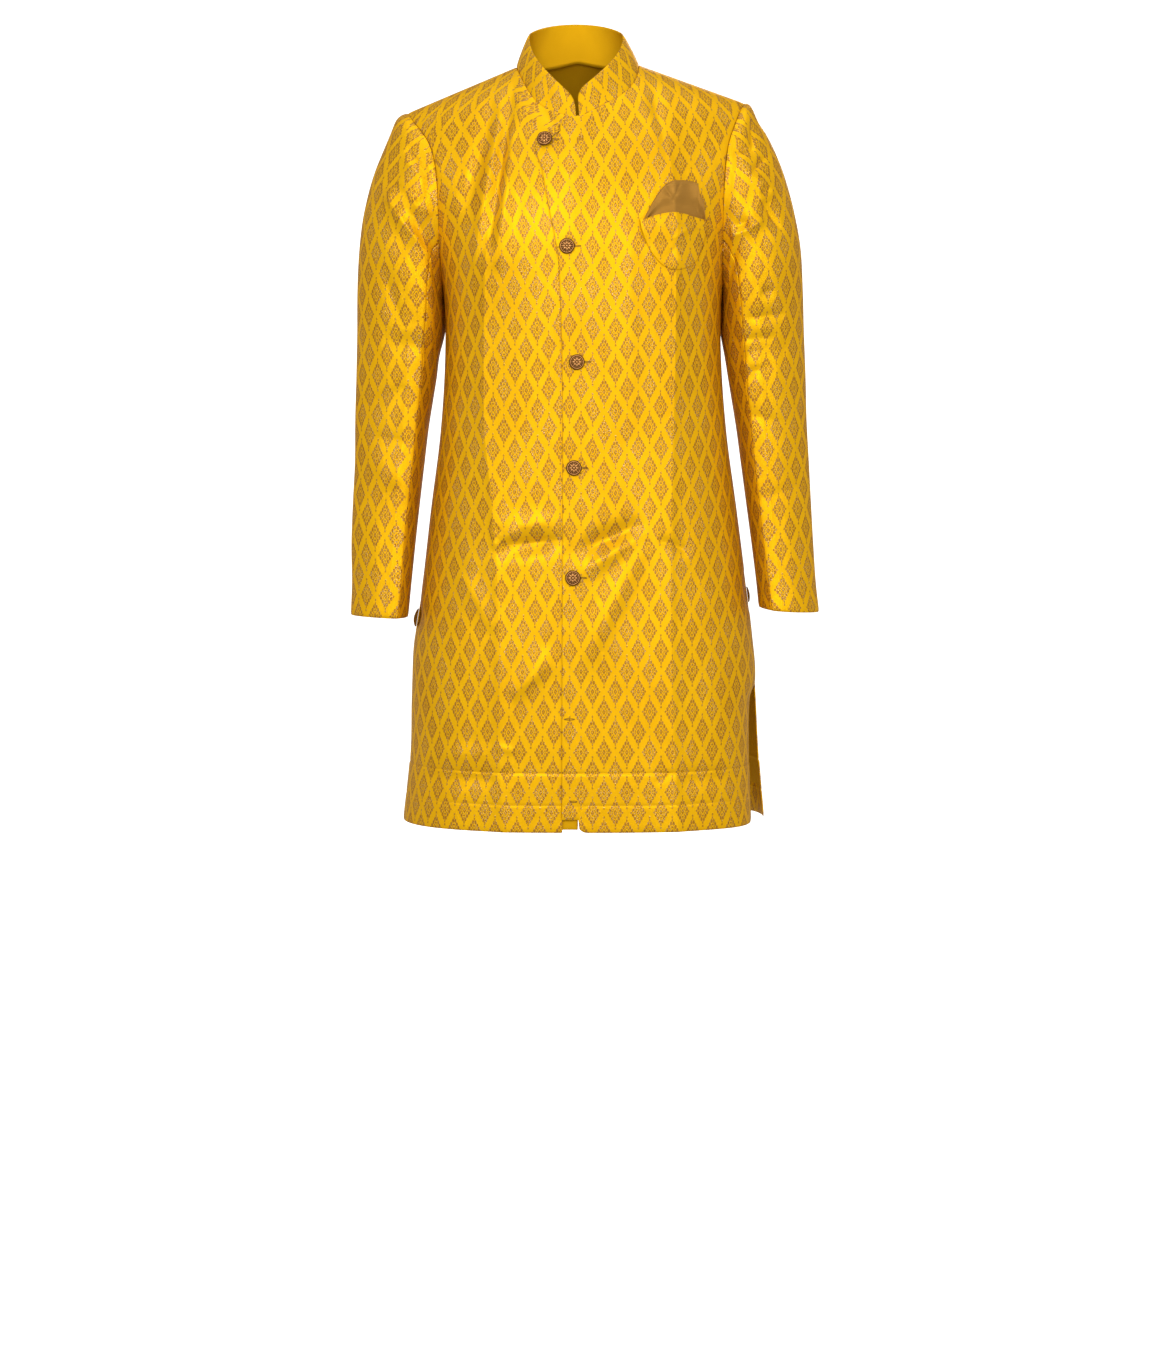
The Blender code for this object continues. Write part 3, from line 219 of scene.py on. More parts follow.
LEFT_SLEEVE = table(Section, (
    (0.205, -0.0469, 0.178, -0.283, 0, 0.062, 1, 0), (0.211, -0.0484, 0.1786, -0.287, 0, 0.064, 1, 0),
    (0.216, -0.0545, 0.1792, -0.291, 0, 0.066, 1, 0),
    (0.224, -0.072, 0.1797, -0.296, 0, 0.068, 1.02, 0.001),
    (0.2345, -0.088, 0.18, -0.302, 0.001, 0.069, 1.05, 0.001),
    (0.247, -0.113, 0.1792, -0.31, 0.001, 0.07, 1.08, 0.002),
    (0.2595, -0.146, 0.1788, -0.32, 0.002, 0.07, 1.12, 0.003),
    (0.27, -0.185, 0.179, -0.333, 0.002, 0.07, 1.16, 0.004),
    (0.2785, -0.231, 0.1798, -0.35, 0.003, 0.069, 1.2, 0.006),
    (0.2818, -0.283, 0.1822, -0.37, 0.004, 0.067, 1.26, 0.008),
    (0.2836, -0.338, 0.1858, -0.395, 0.005, 0.065, 1.32, 0.01),
    (0.286, -0.395, 0.1908, -0.425, 0.004, 0.063, 1.36, 0.011),
    (0.2875, -0.45, 0.1968, -0.462, 0.002, 0.061, 1.38, 0.012),
    (0.2905, -0.505, 0.203, -0.508, -0.002, 0.058, 1.4, 0.012),
    (0.2932, -0.556, 0.2095, -0.557, -0.007, 0.056, 1.42, 0.012),
    (0.296, -0.608, 0.2163, -0.608, -0.013, 0.053, 1.42, 0.011),
    (0.2992, -0.658, 0.2222, -0.656, -0.019, 0.051, 1.42, 0.01),
    (0.3033, -0.696, 0.2255, -0.69, -0.026, 0.049, 1.42, 0.009),
))

# A sleeve follows the armhole's own shape over its first sections
SLEEVE_BLEND_ROWS = 7
SLEEVE_BLEND_POWER = 1.5
SLEEVE_LENGTH = 0.62
SLEEVE_GIRTH = 0.40
WRINKLES_START = 0.12
UNDERARM_REACH = 0.0065
UNDERARM_FROM = (0.0, 2.5)
UNDERARM_TO = (6.5, 10.0)
UNDERARM_ANGLE = 204.0
UNDERARM_WIDTH = 22.0

# Each sleeve is pressed along its front, beside the seam
SLEEVE_PRESS_ANGLE = 117.0
SLEEVE_PRESS_HEIGHT = 0.0062
SLEEVE_PRESS_WIDTH = 16.0
SLEEVE_PRESS_START = 0.22
SLEEVE_PRESS_FULL = 0.42

# The sleeve's axis runs from this section to the cuff; its weave is unrolled in level slices
AXIS_SECTION = 9.0
SLEEVE_SLICES = 160

# Sleeve folds: where round the sleeve (degrees from the outside, forwards) and how far down
Wrinkle = namedtuple("Wrinkle", "angle0 down0 angle1 down1 height width")
RIGHT_WRINKLES = table(Wrinkle, (
    (60, 0.58, 150, 0.54, -0.003, 0.012), (200, 0.56, 300, 0.6, -0.003, 0.014),
    (40, 0.76, 110, 0.8, 0.0025, 0.012),
))
LEFT_WRINKLES = table(Wrinkle, (
    (50, 0.6, 140, 0.56, -0.003, 0.012), (210, 0.55, 310, 0.59, -0.003, 0.014),
))

# Chest pocket, seen from the front: its two sides between the mouth and the point
Band = namedtuple("Band", "z left right")
POCKET = table(Band, (
    (-0.1985, 0.069, 0.153), (-0.213, 0.072, 0.152), (-0.23, 0.079, 0.149), (-0.245, 0.088, 0.143),
    (-0.256, 0.099, 0.132), (-0.2605, 0.108, 0.118),
))
POCKET_MOUTH_RISE = 0.0080
POCKET_MOUTH_POWER = 1.5
POCKET_CLOSE = 0.15
POCKET_FLAT = 0.55
POCKET_GAP = 0.0006
POCKET_WALL = 0.0014
SQUARE_TUCK = 0.0054
SQUARE_WALL = 0.0012
SQUARE_START = 0.085
SQUARE_WIDTH = 0.865
PLEAT = 0.0012
PLEAT_TURN = 13.0
PLEAT_SLANT = 2.0
PLEAT_BEGINS = (0.30, 0.70)
SQUARE_PUFF = 0.0026
# The folded square above the mouth: height of its top edge across the pocket
Peak = namedtuple("Peak", "across height")
SQUARE_TOP = table(Peak, (
    (0.08, 0.001), (0.18, 0.015), (0.27, 0.025), (0.36, 0.0325), (0.585, 0.039), (0.75, 0.0418),
    (0.85, 0.04), (0.875, 0.028), (0.93, 0.0205), (0.95, 0.001),
))
SQUARE_CREASES = table(Fold, (
    (0.0992, -0.16, 0.1085, -0.176, -0.0026, 0.0026), (0.1085, -0.176, 0.1102, -0.194, -0.0024, 0.0026),
    (0.1085, -0.176, 0.1181, -0.153, -0.0018, 0.0022), (0.1085, -0.176, 0.1244, -0.191, -0.002, 0.0026),
    (0.1362, -0.178, 0.1471, -0.196, -0.0018, 0.0022), (0.101, -0.1585, 0.132, -0.1545, 0.0012, 0.0022),
))

Spot = namedtuple("Spot", "x z")
BUTTONS = table(Spot, (
    (-0.0478, -0.0995), (-0.0205, -0.2316), (-0.0081, -0.3755), (-0.0119, -0.5076), (-0.0132, -0.6452),
))

# Pocket facings that show at the side seams: top, bottom and how far they stand out
Facing = namedtuple("Facing", "side top bottom reach")
SIDE_FACINGS = (
    Facing(IMAGE_LEFT, -0.6945, -0.7175, 0.0036),
    Facing(IMAGE_RIGHT, -0.6660, -0.6860, 0.0020),
)
FACING_SEAT = 0.0003
FACING_BULGE = 0.6
CRESCENT_END = 0.05

# The lower corner of the overlapping panel is cut back
NOTCH_WIDTH = 0.0205
NOTCH_RISE = 0.0165
NOTCH_RADIUS = 0.0120
NOTCH_CORNER = 0.75
NOTCH_REACH = 0.09

# Pressed and crushed places, sharper than the folds
FRONT_CREASES = table(Fold, (
    (-0.099, -0.603, -0.0265, -0.5965, -0.006, 0.0055), (-0.1, -0.6, -0.082, -0.587, 0.0034, 0.0045),
    (-0.113, -0.583, -0.1, -0.587, -0.0016, 0.0028), (-0.114, -0.6065, -0.099, -0.6, 0.0016, 0.0024),
    (0.098, -0.599, 0.13, -0.612, -0.0045, 0.005), (-0.155, -0.6543, -0.1175, -0.7172, -0.0016, 0.007),
    (-0.0861, -0.7925, -0.0421, -0.7546, 0.0018, 0.006),
    (0.0019, -0.7551, 0.0708, -0.6103, 0.0016, 0.008), (-0.1062, -0.8577, -0.0874, -0.864, 0.0018, 0.003),
    (-0.0874, -0.864, -0.0874, -0.8843, -0.0016, 0.003),
    (-0.0874, -0.8843, -0.1051, -0.8957, -0.0022, 0.003),
    (0.0912, -0.902, 0.1164, -0.8894, -0.0018, 0.0035), (-0.089, -0.03, -0.1168, -0.23, -0.0016, 0.006),
    (-0.1164, -0.052, -0.1453, -0.1556, -0.0018, 0.006),
    (-0.104, -0.0753, -0.1356, -0.261, 0.0014, 0.0055),
    (-0.0891, -0.0938, -0.1044, -0.2486, 0.0014, 0.0055),
    (0.1104, -0.2219, 0.134, -0.206, 0.0018, 0.0045), (0.1162, -0.2452, 0.1434, -0.2606, 0.002, 0.005),
    (0.098, -0.25, 0.115, -0.23, -0.0018, 0.005), (0.126, -0.205, 0.145, -0.218, -0.0016, 0.0045),
))
BACK_CREASES = table(Fold, (
    (-0.17, -0.605, 0.17, -0.6, -0.0014, 0.006),
))
CREASE_ROUND = 0.15

# Creases of the sleeves as seen from the front; the far side has weaker ones, a little lower
RIGHT_SLEEVE_CREASES = table(Fold, (
    (-0.2223, -0.1107, -0.1915, -0.1433, -0.003, 0.006), (-0.227, -0.122, -0.195, -0.153, 0.002, 0.008),
    (-0.2399, -0.1571, -0.2439, -0.1759, 0.0026, 0.0085),
    (-0.2439, -0.1759, -0.1996, -0.2374, 0.0032, 0.0085),
    (-0.1996, -0.2374, -0.1957, -0.2852, 0.0022, 0.008),
    (-0.1957, -0.2852, -0.1973, -0.3736, 0.0018, 0.008),
    (-0.201, -0.1571, -0.1876, -0.1552, -0.002, 0.0035),
    (-0.2109, -0.1759, -0.1965, -0.1721, -0.0016, 0.0035),
    (-0.2318, -0.1471, -0.1941, -0.1884, 0.0026, 0.014), (-0.215, -0.19, -0.192, -0.235, -0.003, 0.01),
    (-0.256, -0.26, -0.23, -0.33, -0.0016, 0.012), (-0.285, -0.435, -0.23, -0.41, -0.0016, 0.008),
    (-0.28, -0.47, -0.225, -0.478, -0.0014, 0.009), (-0.282, -0.56, -0.235, -0.535, -0.0012, 0.009),
))
LEFT_SLEEVE_CREASES = table(Fold, (
    (0.1896, -0.1107, 0.2147, -0.1077, -0.0026, 0.004),
    (0.2145, -0.0719, 0.2157, -0.1077, -0.0022, 0.004),
    (0.2118, -0.1377, 0.2319, -0.1178, -0.0026, 0.0045),
    (0.224, -0.1616, 0.2361, -0.1596, -0.0018, 0.004), (0.2281, -0.1756, 0.2523, -0.2098, -0.0028, 0.005),
    (0.1878, -0.2157, 0.204, -0.2117, 0.0028, 0.006), (0.204, -0.2117, 0.2262, -0.1957, 0.003, 0.006),
    (0.19, -0.206, 0.208, -0.2, -0.0025, 0.007), (0.2246, -0.2899, 0.2407, -0.2865, -0.002, 0.005),
    (0.2123, -0.32, 0.2529, -0.316, -0.0022, 0.006), (0.1921, -0.3483, 0.2429, -0.3433, -0.0018, 0.006),
    (0.1923, -0.3964, 0.2367, -0.3812, -0.002, 0.006), (0.2, -0.125, 0.235, -0.165, 0.0024, 0.013),
    (0.206, -0.44, 0.27, -0.46, -0.0014, 0.008), (0.225, -0.55, 0.28, -0.532, -0.0012, 0.009),
))
SLEEVE_CREASE_SHARE = 2.1
CREASE_TURN = 0.35
FAR_SIDE_SHARE = 0.5
FAR_SIDE_DROP = 0.020

# The turned hem and its stitching, pressed into the cloth
HEM_STEP = 0.0006
HEM_STEP_ABOVE = 0.0005
HEM_STEP_BELOW = 0.0020
HEM_TURN_DEPTH = 0.0005
HEM_TURN_WIDTH = 0.0022
HEM_STITCH_DEPTH = 0.0004
HEM_STITCH_WIDTH = 0.0018
HEM_INSIDE_Z = -0.9250

# Where cloth turns in along seams and folded edges
ROLL_WIDTH = 0.0022
SEAM_ROLL = 0.0008
SLEEVE_SEAM_ROLL = 0.0003
ROLL_HIGH = -0.130
ROLL_LOW = -0.190
ROLL_NONE = 0.005
ROLL_AGAIN = 0.020
SEAM_ALLOWANCE = 0.0012
HEM_ROLL = 0.0006
EDGE_ROLL = 0.0005
EDGE_ROUND = 0.30

# Stitches and worked buttonholes
STITCH_PITCH = 0.0030
STITCH_LENGTH = 0.0024
STITCH_RADIUS = 0.00026
STITCH_INSET = 0.0030
STITCH_SEED = 7
THREAD_LIFT = 0.00012
MOUTH_HEM = 0.0130
CORD_PITCH = 0.0007
CORD_LENGTH = 0.0010
CORD_RADIUS = 0.00055
HOLE_HALF_WIDTH = 0.0009
HOLE_START = 0.0040
HOLE_END = 0.0175
HEM_STEPS = 120
POCKET_STEPS = 60
CORD_STEPS = 60
LOOP_STEPS = 30
MOUTH_ENDS = (0.04, 0.96)
EMPTY_BUTTONHOLES = ((-0.0240, -0.0112, -0.8225), (-0.0170, -0.0082, -0.9264))
NECK_LOOP = ((-0.0299, -0.0810), (-0.0287, -0.0885), (-0.0381, -0.0959))

# Places inside the coat, behind the cloth beside them
BODY_INSIDE = (0.0, 0.0, -0.5)
NECK_INSIDE = (NECK_X, -0.01, 0.0)
POCKET_INSIDE = (0.1, 0.2, -0.2)

# How finely the cloth is divided
Rows = namedtuple("Rows", "armhole skirt hem")
FRONT_ROWS = Rows(90, 180, 34)
BACK_ROWS = Rows(80, 118, 26)
LEVEL_Z = -0.865
SETTLE_STEPS = 40
LINE_ROWS = (0.0005, 0.0012, 0.0022, 0.0035)
FRONT_BAND = 0.0340
EDGE_COLUMNS = (0.0, 0.0015, 0.004, 0.007, 0.010, 0.014, 0.018, 0.0205, 0.0215, 0.0235, 0.0265, 0.030)
INNER_COLUMNS = 40
OUTER_COLUMNS = 56
BACK_INNER_COLUMNS = 28
SLEEVE_ROWS = 200
SEAM_FRONT = 120
SEAM_BACK = 240
TOP_COLUMNS = 108
UNDER_COLUMNS = 54
COLLAR_ROWS = 24
COLLAR_COLUMNS = 70
CORNER_COLUMNS = 14
POCKET_ROWS = 50
POCKET_COLUMNS = 60
SQUARE_ROWS = 36
SQUARE_COLUMNS = 90
FACING_ROWS = 220
FACING_COLUMNS = 8
CRESCENT_ROWS = 16
CRESCENT_COLUMNS = 6

# The collar's slight belly, and how far its inner face runs on down inside the neckline
COLLAR_ALLOWANCE = 0.0035
COLLAR_BELLY = 0.0008
COLLAR_PATTERN_UP = 0.012

# Satin facings
FACING_TOP_Z = -0.078
FACING_HEM = 0.004
FACING_BEHIND = -0.006
FACING_LEAST = 0.006
FACING_SHOWS = 0.0195

# Buttons
BUTTON_RADIUS = 0.0094
BUTTON_DOME = 0.0026
SHANK_HEIGHT = 0.0016
DOME_WIDTH = 0.93
CARVING = 0.0005
ROSETTE_PETALS = 8
PETAL_POWER = 0.7
Ridge = namedtuple("Ridge", "place width height")
HEART = Ridge(0.0, 0.13, 1.1)
ROSETTE = Ridge(0.40, 0.17, 1.0)
SCROLLS = Ridge(0.68, 0.09, 0.8)
RIM = Ridge(0.86, 0.05, 0.9)
BUTTON_MIDDLE = 0.03
# The button's rim and back, as radius shares and heights over the cloth
BUTTON_BACK = ((1.03, 0.0025), (1.02, 0.0020), (0.94, 0.0016), (0.34, 0.0016), (0.33, 0.0))
BUTTON_SIDES = 96
BUTTON_RINGS = 30

# The woven repeat: a half-drop of small lozenges
REPEAT_ACROSS = 0.0288
REPEAT_UP = 0.0510
TIP_PLACE = 0.385
THREAD_PITCH = 0.0009

# The motif, from a lozenge's middle (0) to its edge (1): where each part's edges fade
OUTLINE_OUTSIDE = (0.690, 0.655)
OUTLINE_INSIDE = (0.425, 0.460)
BEADS_OUTSIDE = (0.385, 0.355)
BEADS_INSIDE = (0.235, 0.265)
FLOWER_OUTSIDE = (0.175, 0.145)
FLOWER_INSIDE = (0.030, 0.055)
SCALLOPS = 6.2
BEADS = 9.5
BUD_EDGE = (0.0015, 0.0008)

# Unevenness of the cloth: grains in a metre across and up
Grain = namedtuple("Grain", "across up seed detail roughness", defaults=(0.0, 2.0, 0.5))
YARN = Grain(900.0, 1500.0, 0.0, 1.0)
GLINT = Grain(700.0, 1100.0, 7.0, 1.0)
PATCH = Grain(26.0, 11.0, 11.0)
TONE = Grain(14.0, 9.0, 0.0, 3.0)
CRINKLE = Grain(60.0, 42.0, 3.0, 3.0, 0.55)
SLACK = Grain(22.0, 14.0, 5.0)
SATIN_TONE = Grain(30.0, 12.0, 0.0, 3.0)
SATIN_SLUB = Grain(90.0, 1400.0)
FRONT_PATTERN_X = -0.0030

# Colours
GROUND_DARK = (0.78, 0.40, 0.004)
GROUND_LIGHT = (0.90, 0.52, 0.008)
MOTIF_COLOUR = (0.33, 0.125, 0.010)
# painted glint: the whitish highlight of the metal yarn, mixed into its base colour
MOTIF_GLINT = (0.96, 0.74, 0.38)
SATIN_DARK = (0.24, 0.110, 0.016)
SATIN_LIGHT = (0.46, 0.24, 0.050)
# painted shade: the darkest tone of the satin in the side pockets' mouths
SHADED_DARK = (0.16, 0.070, 0.008)
LINING_DARK = (0.58, 0.30, 0.004)
LINING_LIGHT = (0.70, 0.38, 0.006)
COPPER_DARK = (0.085, 0.032, 0.009)
COPPER_BRIGHT = (0.58, 0.28, 0.095)
THREAD_DARK = (0.52, 0.26, 0.01)
THREAD_LIGHT = (0.84, 0.52, 0.04)
CORD_DARK = (0.10, 0.040, 0.006)
CORD_LIGHT = (0.30, 0.14, 0.016)


# Smooth curves and the plain body of the coat
def column_of(table, name):
    return np.array([getattr(row, name) for row in table], float)


def hermite(t, first, last, first_slope, last_slope):
    """Smooth value between two keys, with slopes given for the whole step."""
    return ((2 * t**3 - 3 * t**2 + 1) * first + (t**3 - 2 * t**2 + t) * first_slope
            + (3 * t**2 - 2 * t**3) * last + (t**3 - t**2) * last_slope)


def spline(table, column, at):
    """Smooth value of a named column of a table, at one place or at many."""
    keys = column_of(table, table[0]._fields[0])
    values = column_of(table, column)
    if keys[0] > keys[-1]:
        keys = keys[::-1]
        values = values[::-1]
    at = np.clip(np.asarray(at, float), keys[0], keys[-1])
    order = np.arange(len(keys))
    low = np.maximum(order - 1, 0)
    high = np.minimum(order + 1, len(keys) - 1)
    slopes = (values[high] - values[low]) / (keys[high] - keys[low])
    i = np.clip(np.searchsorted(keys, at, side="right") - 1, 0, len(keys) - 2)
    span = keys[i + 1] - keys[i]
    return hermite((at - keys[i]) / span, values[i], values[i + 1], span * slopes[i], span * slopes[i + 1])


def along(sections, column, at):
    """Smooth value of a named column of evenly spaced rows, counted from 0."""
    values = column_of(sections, column)
    slopes = np.gradient(values)
    i = np.clip(np.floor(at).astype(int), 0, len(sections) - 2)
    return hermite(at - i, values[i], values[i + 1], slopes[i], slopes[i + 1])


def smooth(low, high, value):
    t = np.clip((value - low) / (high - low), 0.0, 1.0)
    return t * t * (3 - 2 * t)


def unit(vectors):
    lengths = np.linalg.norm(vectors, axis=-1, keepdims=True)
    return vectors / np.maximum(lengths, 1e-12)


def seam_height(side, x):
    """Height of a shoulder seam line at x."""
    return side.shoulder_z + side.slope * (side.shoulder_x - x) * side.sign


def shoulder_line(x, bend=NECK_RIDGE_BEND):
    """Height of the shoulder seams, carried on over the neck as a low ridge, bent at its top."""
    across = (x - NECK_X) / NECK_HALF_WIDTH
    from_top = np.hypot(across, bend) - math.hypot(1.0, bend) + 1.0
    beyond = np.where(x < NECK_X, seam_height(IMAGE_LEFT, x), seam_height(IMAGE_RIGHT, x))
    left_z = seam_height(IMAGE_LEFT, NECK_X - NECK_HALF_WIDTH)
    right_z = seam_height(IMAGE_RIGHT, NECK_X + NECK_HALF_WIDTH)
    ridge = left_z + (right_z - left_z) * (across + 1) / 2 + NECK_RIDGE_RISE * (1 - from_top)
    return np.where(np.abs(across) >= 1, beyond, ridge)


def cap(depth_below, cap_height):
    """How far the cloth has rounded over from the shoulder seam, from 0 to 1."""
    t = np.clip(depth_below / cap_height, 0.0, 1.0)
    return np.sqrt(1 - (1 - t) ** 2)


def hull(x, z, back):
    across = (x - spline(RINGS, "centre", z)) / spline(RINGS, "half_width", z)
    depth = np.maximum(1 - np.minimum(np.abs(across), 1.0) ** ROUNDNESS, 0.0) ** (1 / ROUNDNESS)
    below = shoulder_line(x) - z
    if back:
        y = spline(RINGS, "back", z) * depth * cap(below, SHOULDER_CAP_BACK)
    else:
        y = -spline(RINGS, "front", z) * depth * cap(below, SHOULDER_CAP_FRONT)
    return np.stack((x, y, z), axis=-1)


def hull_normal(x, z, back):
    dx = hull(x + NORMAL_STEP, z, back) - hull(x - NORMAL_STEP, z, back)
    dz = hull(x, z + NORMAL_STEP, back) - hull(x, z - NORMAL_STEP, back)
    normal = np.cross(dx, dz)
    return unit(-normal if back else normal)


# Folds
def end_fade(share):
    """From 0 to 1: a fold fades out at its two ends."""
    place = np.clip(share * FADE_SPAN + FADE_START, 0.0, 1.0)
    return np.sin(math.pi * place) ** FADE_POWER


def soft_fall(away):
    return np.exp(-(away**2))


def sharp_fall(away, rounding=CREASE_ROUND):
    """Steep on both sides of a line: a pressed or crushed place."""
    return np.exp(rounding - np.sqrt(away**2 + rounding**2))


def beside(px, pz, ax, az):
    """Share of the way along a line, and distance from it; px and pz run from the line's start."""
    share = (px * ax + pz * az) / (ax * ax + az * az)
    inside = np.clip(share, 0.0, 1.0)
    return share, np.hypot(px - inside * ax, pz - inside * az)


def fold_height(folds, x, z, fall=soft_fall):
    """Sum of the ridges and troughs at each place."""
    total = np.zeros(np.broadcast(x, z).shape)
    for fold in folds:
        share, away = beside(x - fold.x0, z - fold.z0, fold.x1 - fold.x0, fold.z1 - fold.z0)
        total += fold.height * end_fade(share) * fall(away / fold.width)
    return total


def crease_height(creases, x, z):
    return fold_height(creases, x, z, sharp_fall)


def calm(x, z):
    """Folds lie flatter where the two fronts overlap."""
    middle = spline(FRONT_EDGE, "edge", z) + CALM_NEAR
    return CALM_LEVEL + (1 - CALM_LEVEL) * smooth(CALM_NEAR, CALM_FAR, np.abs(x - middle))


def press_line(z, side):
    return spline(PRESSED, side.name, z)


def pressed_ridge(x, z):
    line = np.where(x < NECK_X, press_line(z, IMAGE_LEFT), press_line(z, IMAGE_RIGHT))
    begun = {name: smooth(begin.top, begin.full, z) for name, begin in PRESS_BEGINS.items()}
    start = np.where(x < NECK_X, begun["right"], begun["left"])
    inside = np.abs(x - NECK_X) < np.abs(line - NECK_X)
    width = np.where(inside, PRESS_INSIDE, PRESS_OUTSIDE)
    return PRESS_HEIGHT * start * sharp_fall((x - line) / width, PRESS_ROUND)


def overlap_lift(x, z):
    """The overlapping panel stands off the other one along the front edge."""
    edge = spline(FRONT_EDGE, "edge", z)
    reach = edge + spline(FRONT_EDGE, "underlap", z)
    flare = EDGE_FLARE * np.exp(-np.maximum(x - edge, 0.0) / EDGE_FLARE_WIDTH)
    return flare + (WALL + OVERLAP_GAP) * (1 - smooth(reach + LIFT_NEAR, reach + LIFT_FAR, x))


def hem_groove(z):
    """The turned hem: a line where its upper edge shows through, and the stitched line below."""
    turn = HEM_TURN_DEPTH * soft_fall((z - HEM_TURN_Z) / HEM_TURN_WIDTH)
    stitched = HEM_STITCH_DEPTH * soft_fall((z - HEM_STITCH_Z) / HEM_STITCH_WIDTH)
    step = HEM_STEP * smooth(HEM_TURN_Z + HEM_STEP_ABOVE, HEM_TURN_Z - HEM_STEP_BELOW, z)
    return step - turn - stitched


def front_point(x, z, lift=0.0):
    height = lift + fold_height(FRONT_FOLDS, x, z) * calm(x, z) + pressed_ridge(x, z)
    height = height + crease_height(FRONT_CREASES, x, z) * np.sqrt(calm(x, z)) + hem_groove(z)
    return hull(x, z, False) + hull_normal(x, z, False) * height[..., None]


def back_point(x, z, lift=0.0):
    height = lift + fold_height(BACK_FOLDS, x, z) + crease_height(BACK_CREASES, x, z)
    height = height + hem_groove(z)
    return hull(x, z, True) + hull_normal(x, z, True) * height[..., None]


# Where the panels run
def top_height(x, back):
    """Height of a panel's top edge: the neckline scooped out of the shoulder line."""
    across = (x - NECK_X) / NECK_HALF_WIDTH
    if back:
        return shoulder_line(x) - NECK_BACK_DROP * (1 - np.minimum(np.abs(across), 1.0) ** 2)
    return shoulder_line(x, 0.0) - spline(NECKLINE, "drop", across)


def column_name(side, back):
    return ("back_" if back else "front_") + side.name


def outer_x(z, side, back):
    """Where a panel ends sideways: at the armhole, then at the side seam."""
    armhole = spline(ARMHOLE, column_name(side, back), z)
    seam = spline(RINGS, "centre", z) + side.sign * spline(RINGS, "half_width", z)
    return np.where(z > ARMPIT_Z, armhole, seam)


def column_x(z, start, side, share, back):
    """x of a column between a start line and the panel's outer edge, evenly round the body."""
    centre = spline(RINGS, "centre", z)
    half = spline(RINGS, "half_width", z)
    near = np.minimum(np.abs(start - centre) / half, 1.0)
    far = np.minimum(np.abs(outer_x(z, side, back) - centre) / half, 1.0)
    near_angle = np.arccos(near ** (ROUNDNESS / 2))
    far_angle = np.arccos(far ** (ROUNDNESS / 2))
    angle = near_angle + (far_angle - near_angle) * share
    return centre + side.sign * half * np.cos(angle) ** (2 / ROUNDNESS)


def crowd(share):
    """Columns crowd towards the neck point, where the neckline is steepest."""
    return np.sin(share * math.pi / 2)


def settle_top(place, back):
    """Where each column meets the top edge; `place` gives the columns' x at their heights."""
    z = np.full(place(ARMHOLE[0].z).shape, ARMHOLE[0].z)
    for _ in range(SETTLE_STEPS):
        z = 0.5 * z + 0.5 * top_height(place(z), back)
    return z


def hem_heights(count):
    """Level rows above the hem, closer along its two pressed lines."""
    rows = list(np.linspace(LEVEL_Z, HEM_Z, count + 1)[1:])
    for line in (HEM_TURN_Z, HEM_STITCH_Z):
        rows = [z for z in rows if abs(z - line) > LINE_ROWS[-1]]
        rows += [line + sign * away for away in LINE_ROWS for sign in (-1, 1)] + [line]
    return np.array(sorted(rows, reverse=True))


def row_heights(top, shoulder_z, rows):
    """Heights of every row: closer round the armhole, then evenly, and level along the hem."""
    step = np.arange(rows.armhole + 1) / rows.armhole
    armhole = (1 - np.cos(math.pi * step)) / 2
    skirt = np.arange(1, rows.skirt + 1) / rows.skirt
    armpit = top + (HEM_Z - top) * (shoulder_z - ARMPIT_Z) / (shoulder_z - HEM_Z)
    upper = top[None, :] + (armpit - top)[None, :] * armhole[:, None]
    lower = armpit[None, :] + (LEVEL_Z - armpit)[None, :] * skirt[:, None]
    level = hem_heights(rows.hem)[:, None] + 0 * top[None, :]
    return np.vstack((upper, lower, level))


def drawn_in(z, side, back):
    column = column_name(side, back)
    if column == "back_left":
        return np.zeros(z.shape)
    return spline(DRAWN_IN, column, z)


def drape(x, z, side, back, share, lift):
    """Points of a panel, with the side edge drawn in where the seam is open."""
    points = back_point(x, z, lift) if back else front_point(x, z, lift)
    points[..., 0] -= side.sign * drawn_in(z, side, back) * smooth(PULL_START, 1.0, share)
    return points


def front_edge_x(z, overlapping):
    edge = spline(FRONT_EDGE, "edge", z)
    return edge if overlapping else edge + spline(FRONT_EDGE, "underlap", z)


def front_place(side, kind, share):
    """The columns of a front, as a function that gives their x at a height."""
    overlapping = side is IMAGE_RIGHT

    def place(z):
        edge = front_edge_x(z, overlapping)
        press = press_line(z, side)
        start = edge + FRONT_BAND if overlapping else edge
        inner = start + (press - start) * share
        outer = column_x(z, press, side, share, False)
        return np.select((kind == 0, kind == 1), (edge + share, inner), outer)
    return place


def notch_rise(x, z):
    """The overlapping panel's lower front corner is cut up by a step with a round corner."""
    from_edge = x - spline(FRONT_EDGE, "edge", z)
    t = np.clip(1 - (from_edge - NOTCH_WIDTH) / NOTCH_RADIUS, 0.0, 1.0)
    corner = NOTCH_RADIUS * NOTCH_CORNER * (1 - np.sqrt(1 - t * t))
    rise = np.where(from_edge <= NOTCH_WIDTH + 1e-6, NOTCH_RISE, corner)
    return rise * smooth(HEM_Z + NOTCH_REACH, HEM_Z, z)


def front_columns(overlapping):
    """Kind and share of every column: 0 along the front edge, 1 up to the press line, 2 beyond."""
    band = np.concatenate((EDGE_COLUMNS, [FRONT_BAND])) if overlapping else np.zeros(0)
    first = 1 if overlapping else 0
    inner = crowd(np.arange(first, INNER_COLUMNS + 1) / INNER_COLUMNS)
    outer = np.arange(1, OUTER_COLUMNS + 1) / OUTER_COLUMNS
    kinds = np.concatenate((np.zeros(len(band)), np.ones(len(inner)), np.full(len(outer), 2)))
    return kinds, np.concatenate((band, inner, outer))


def shoulder_end(side):
    """Height of the shoulder point: the top of the armhole seam."""
    place = lambda z: outer_x(z, side, False) * np.ones(1)
    return float(settle_top(place, False)[0])


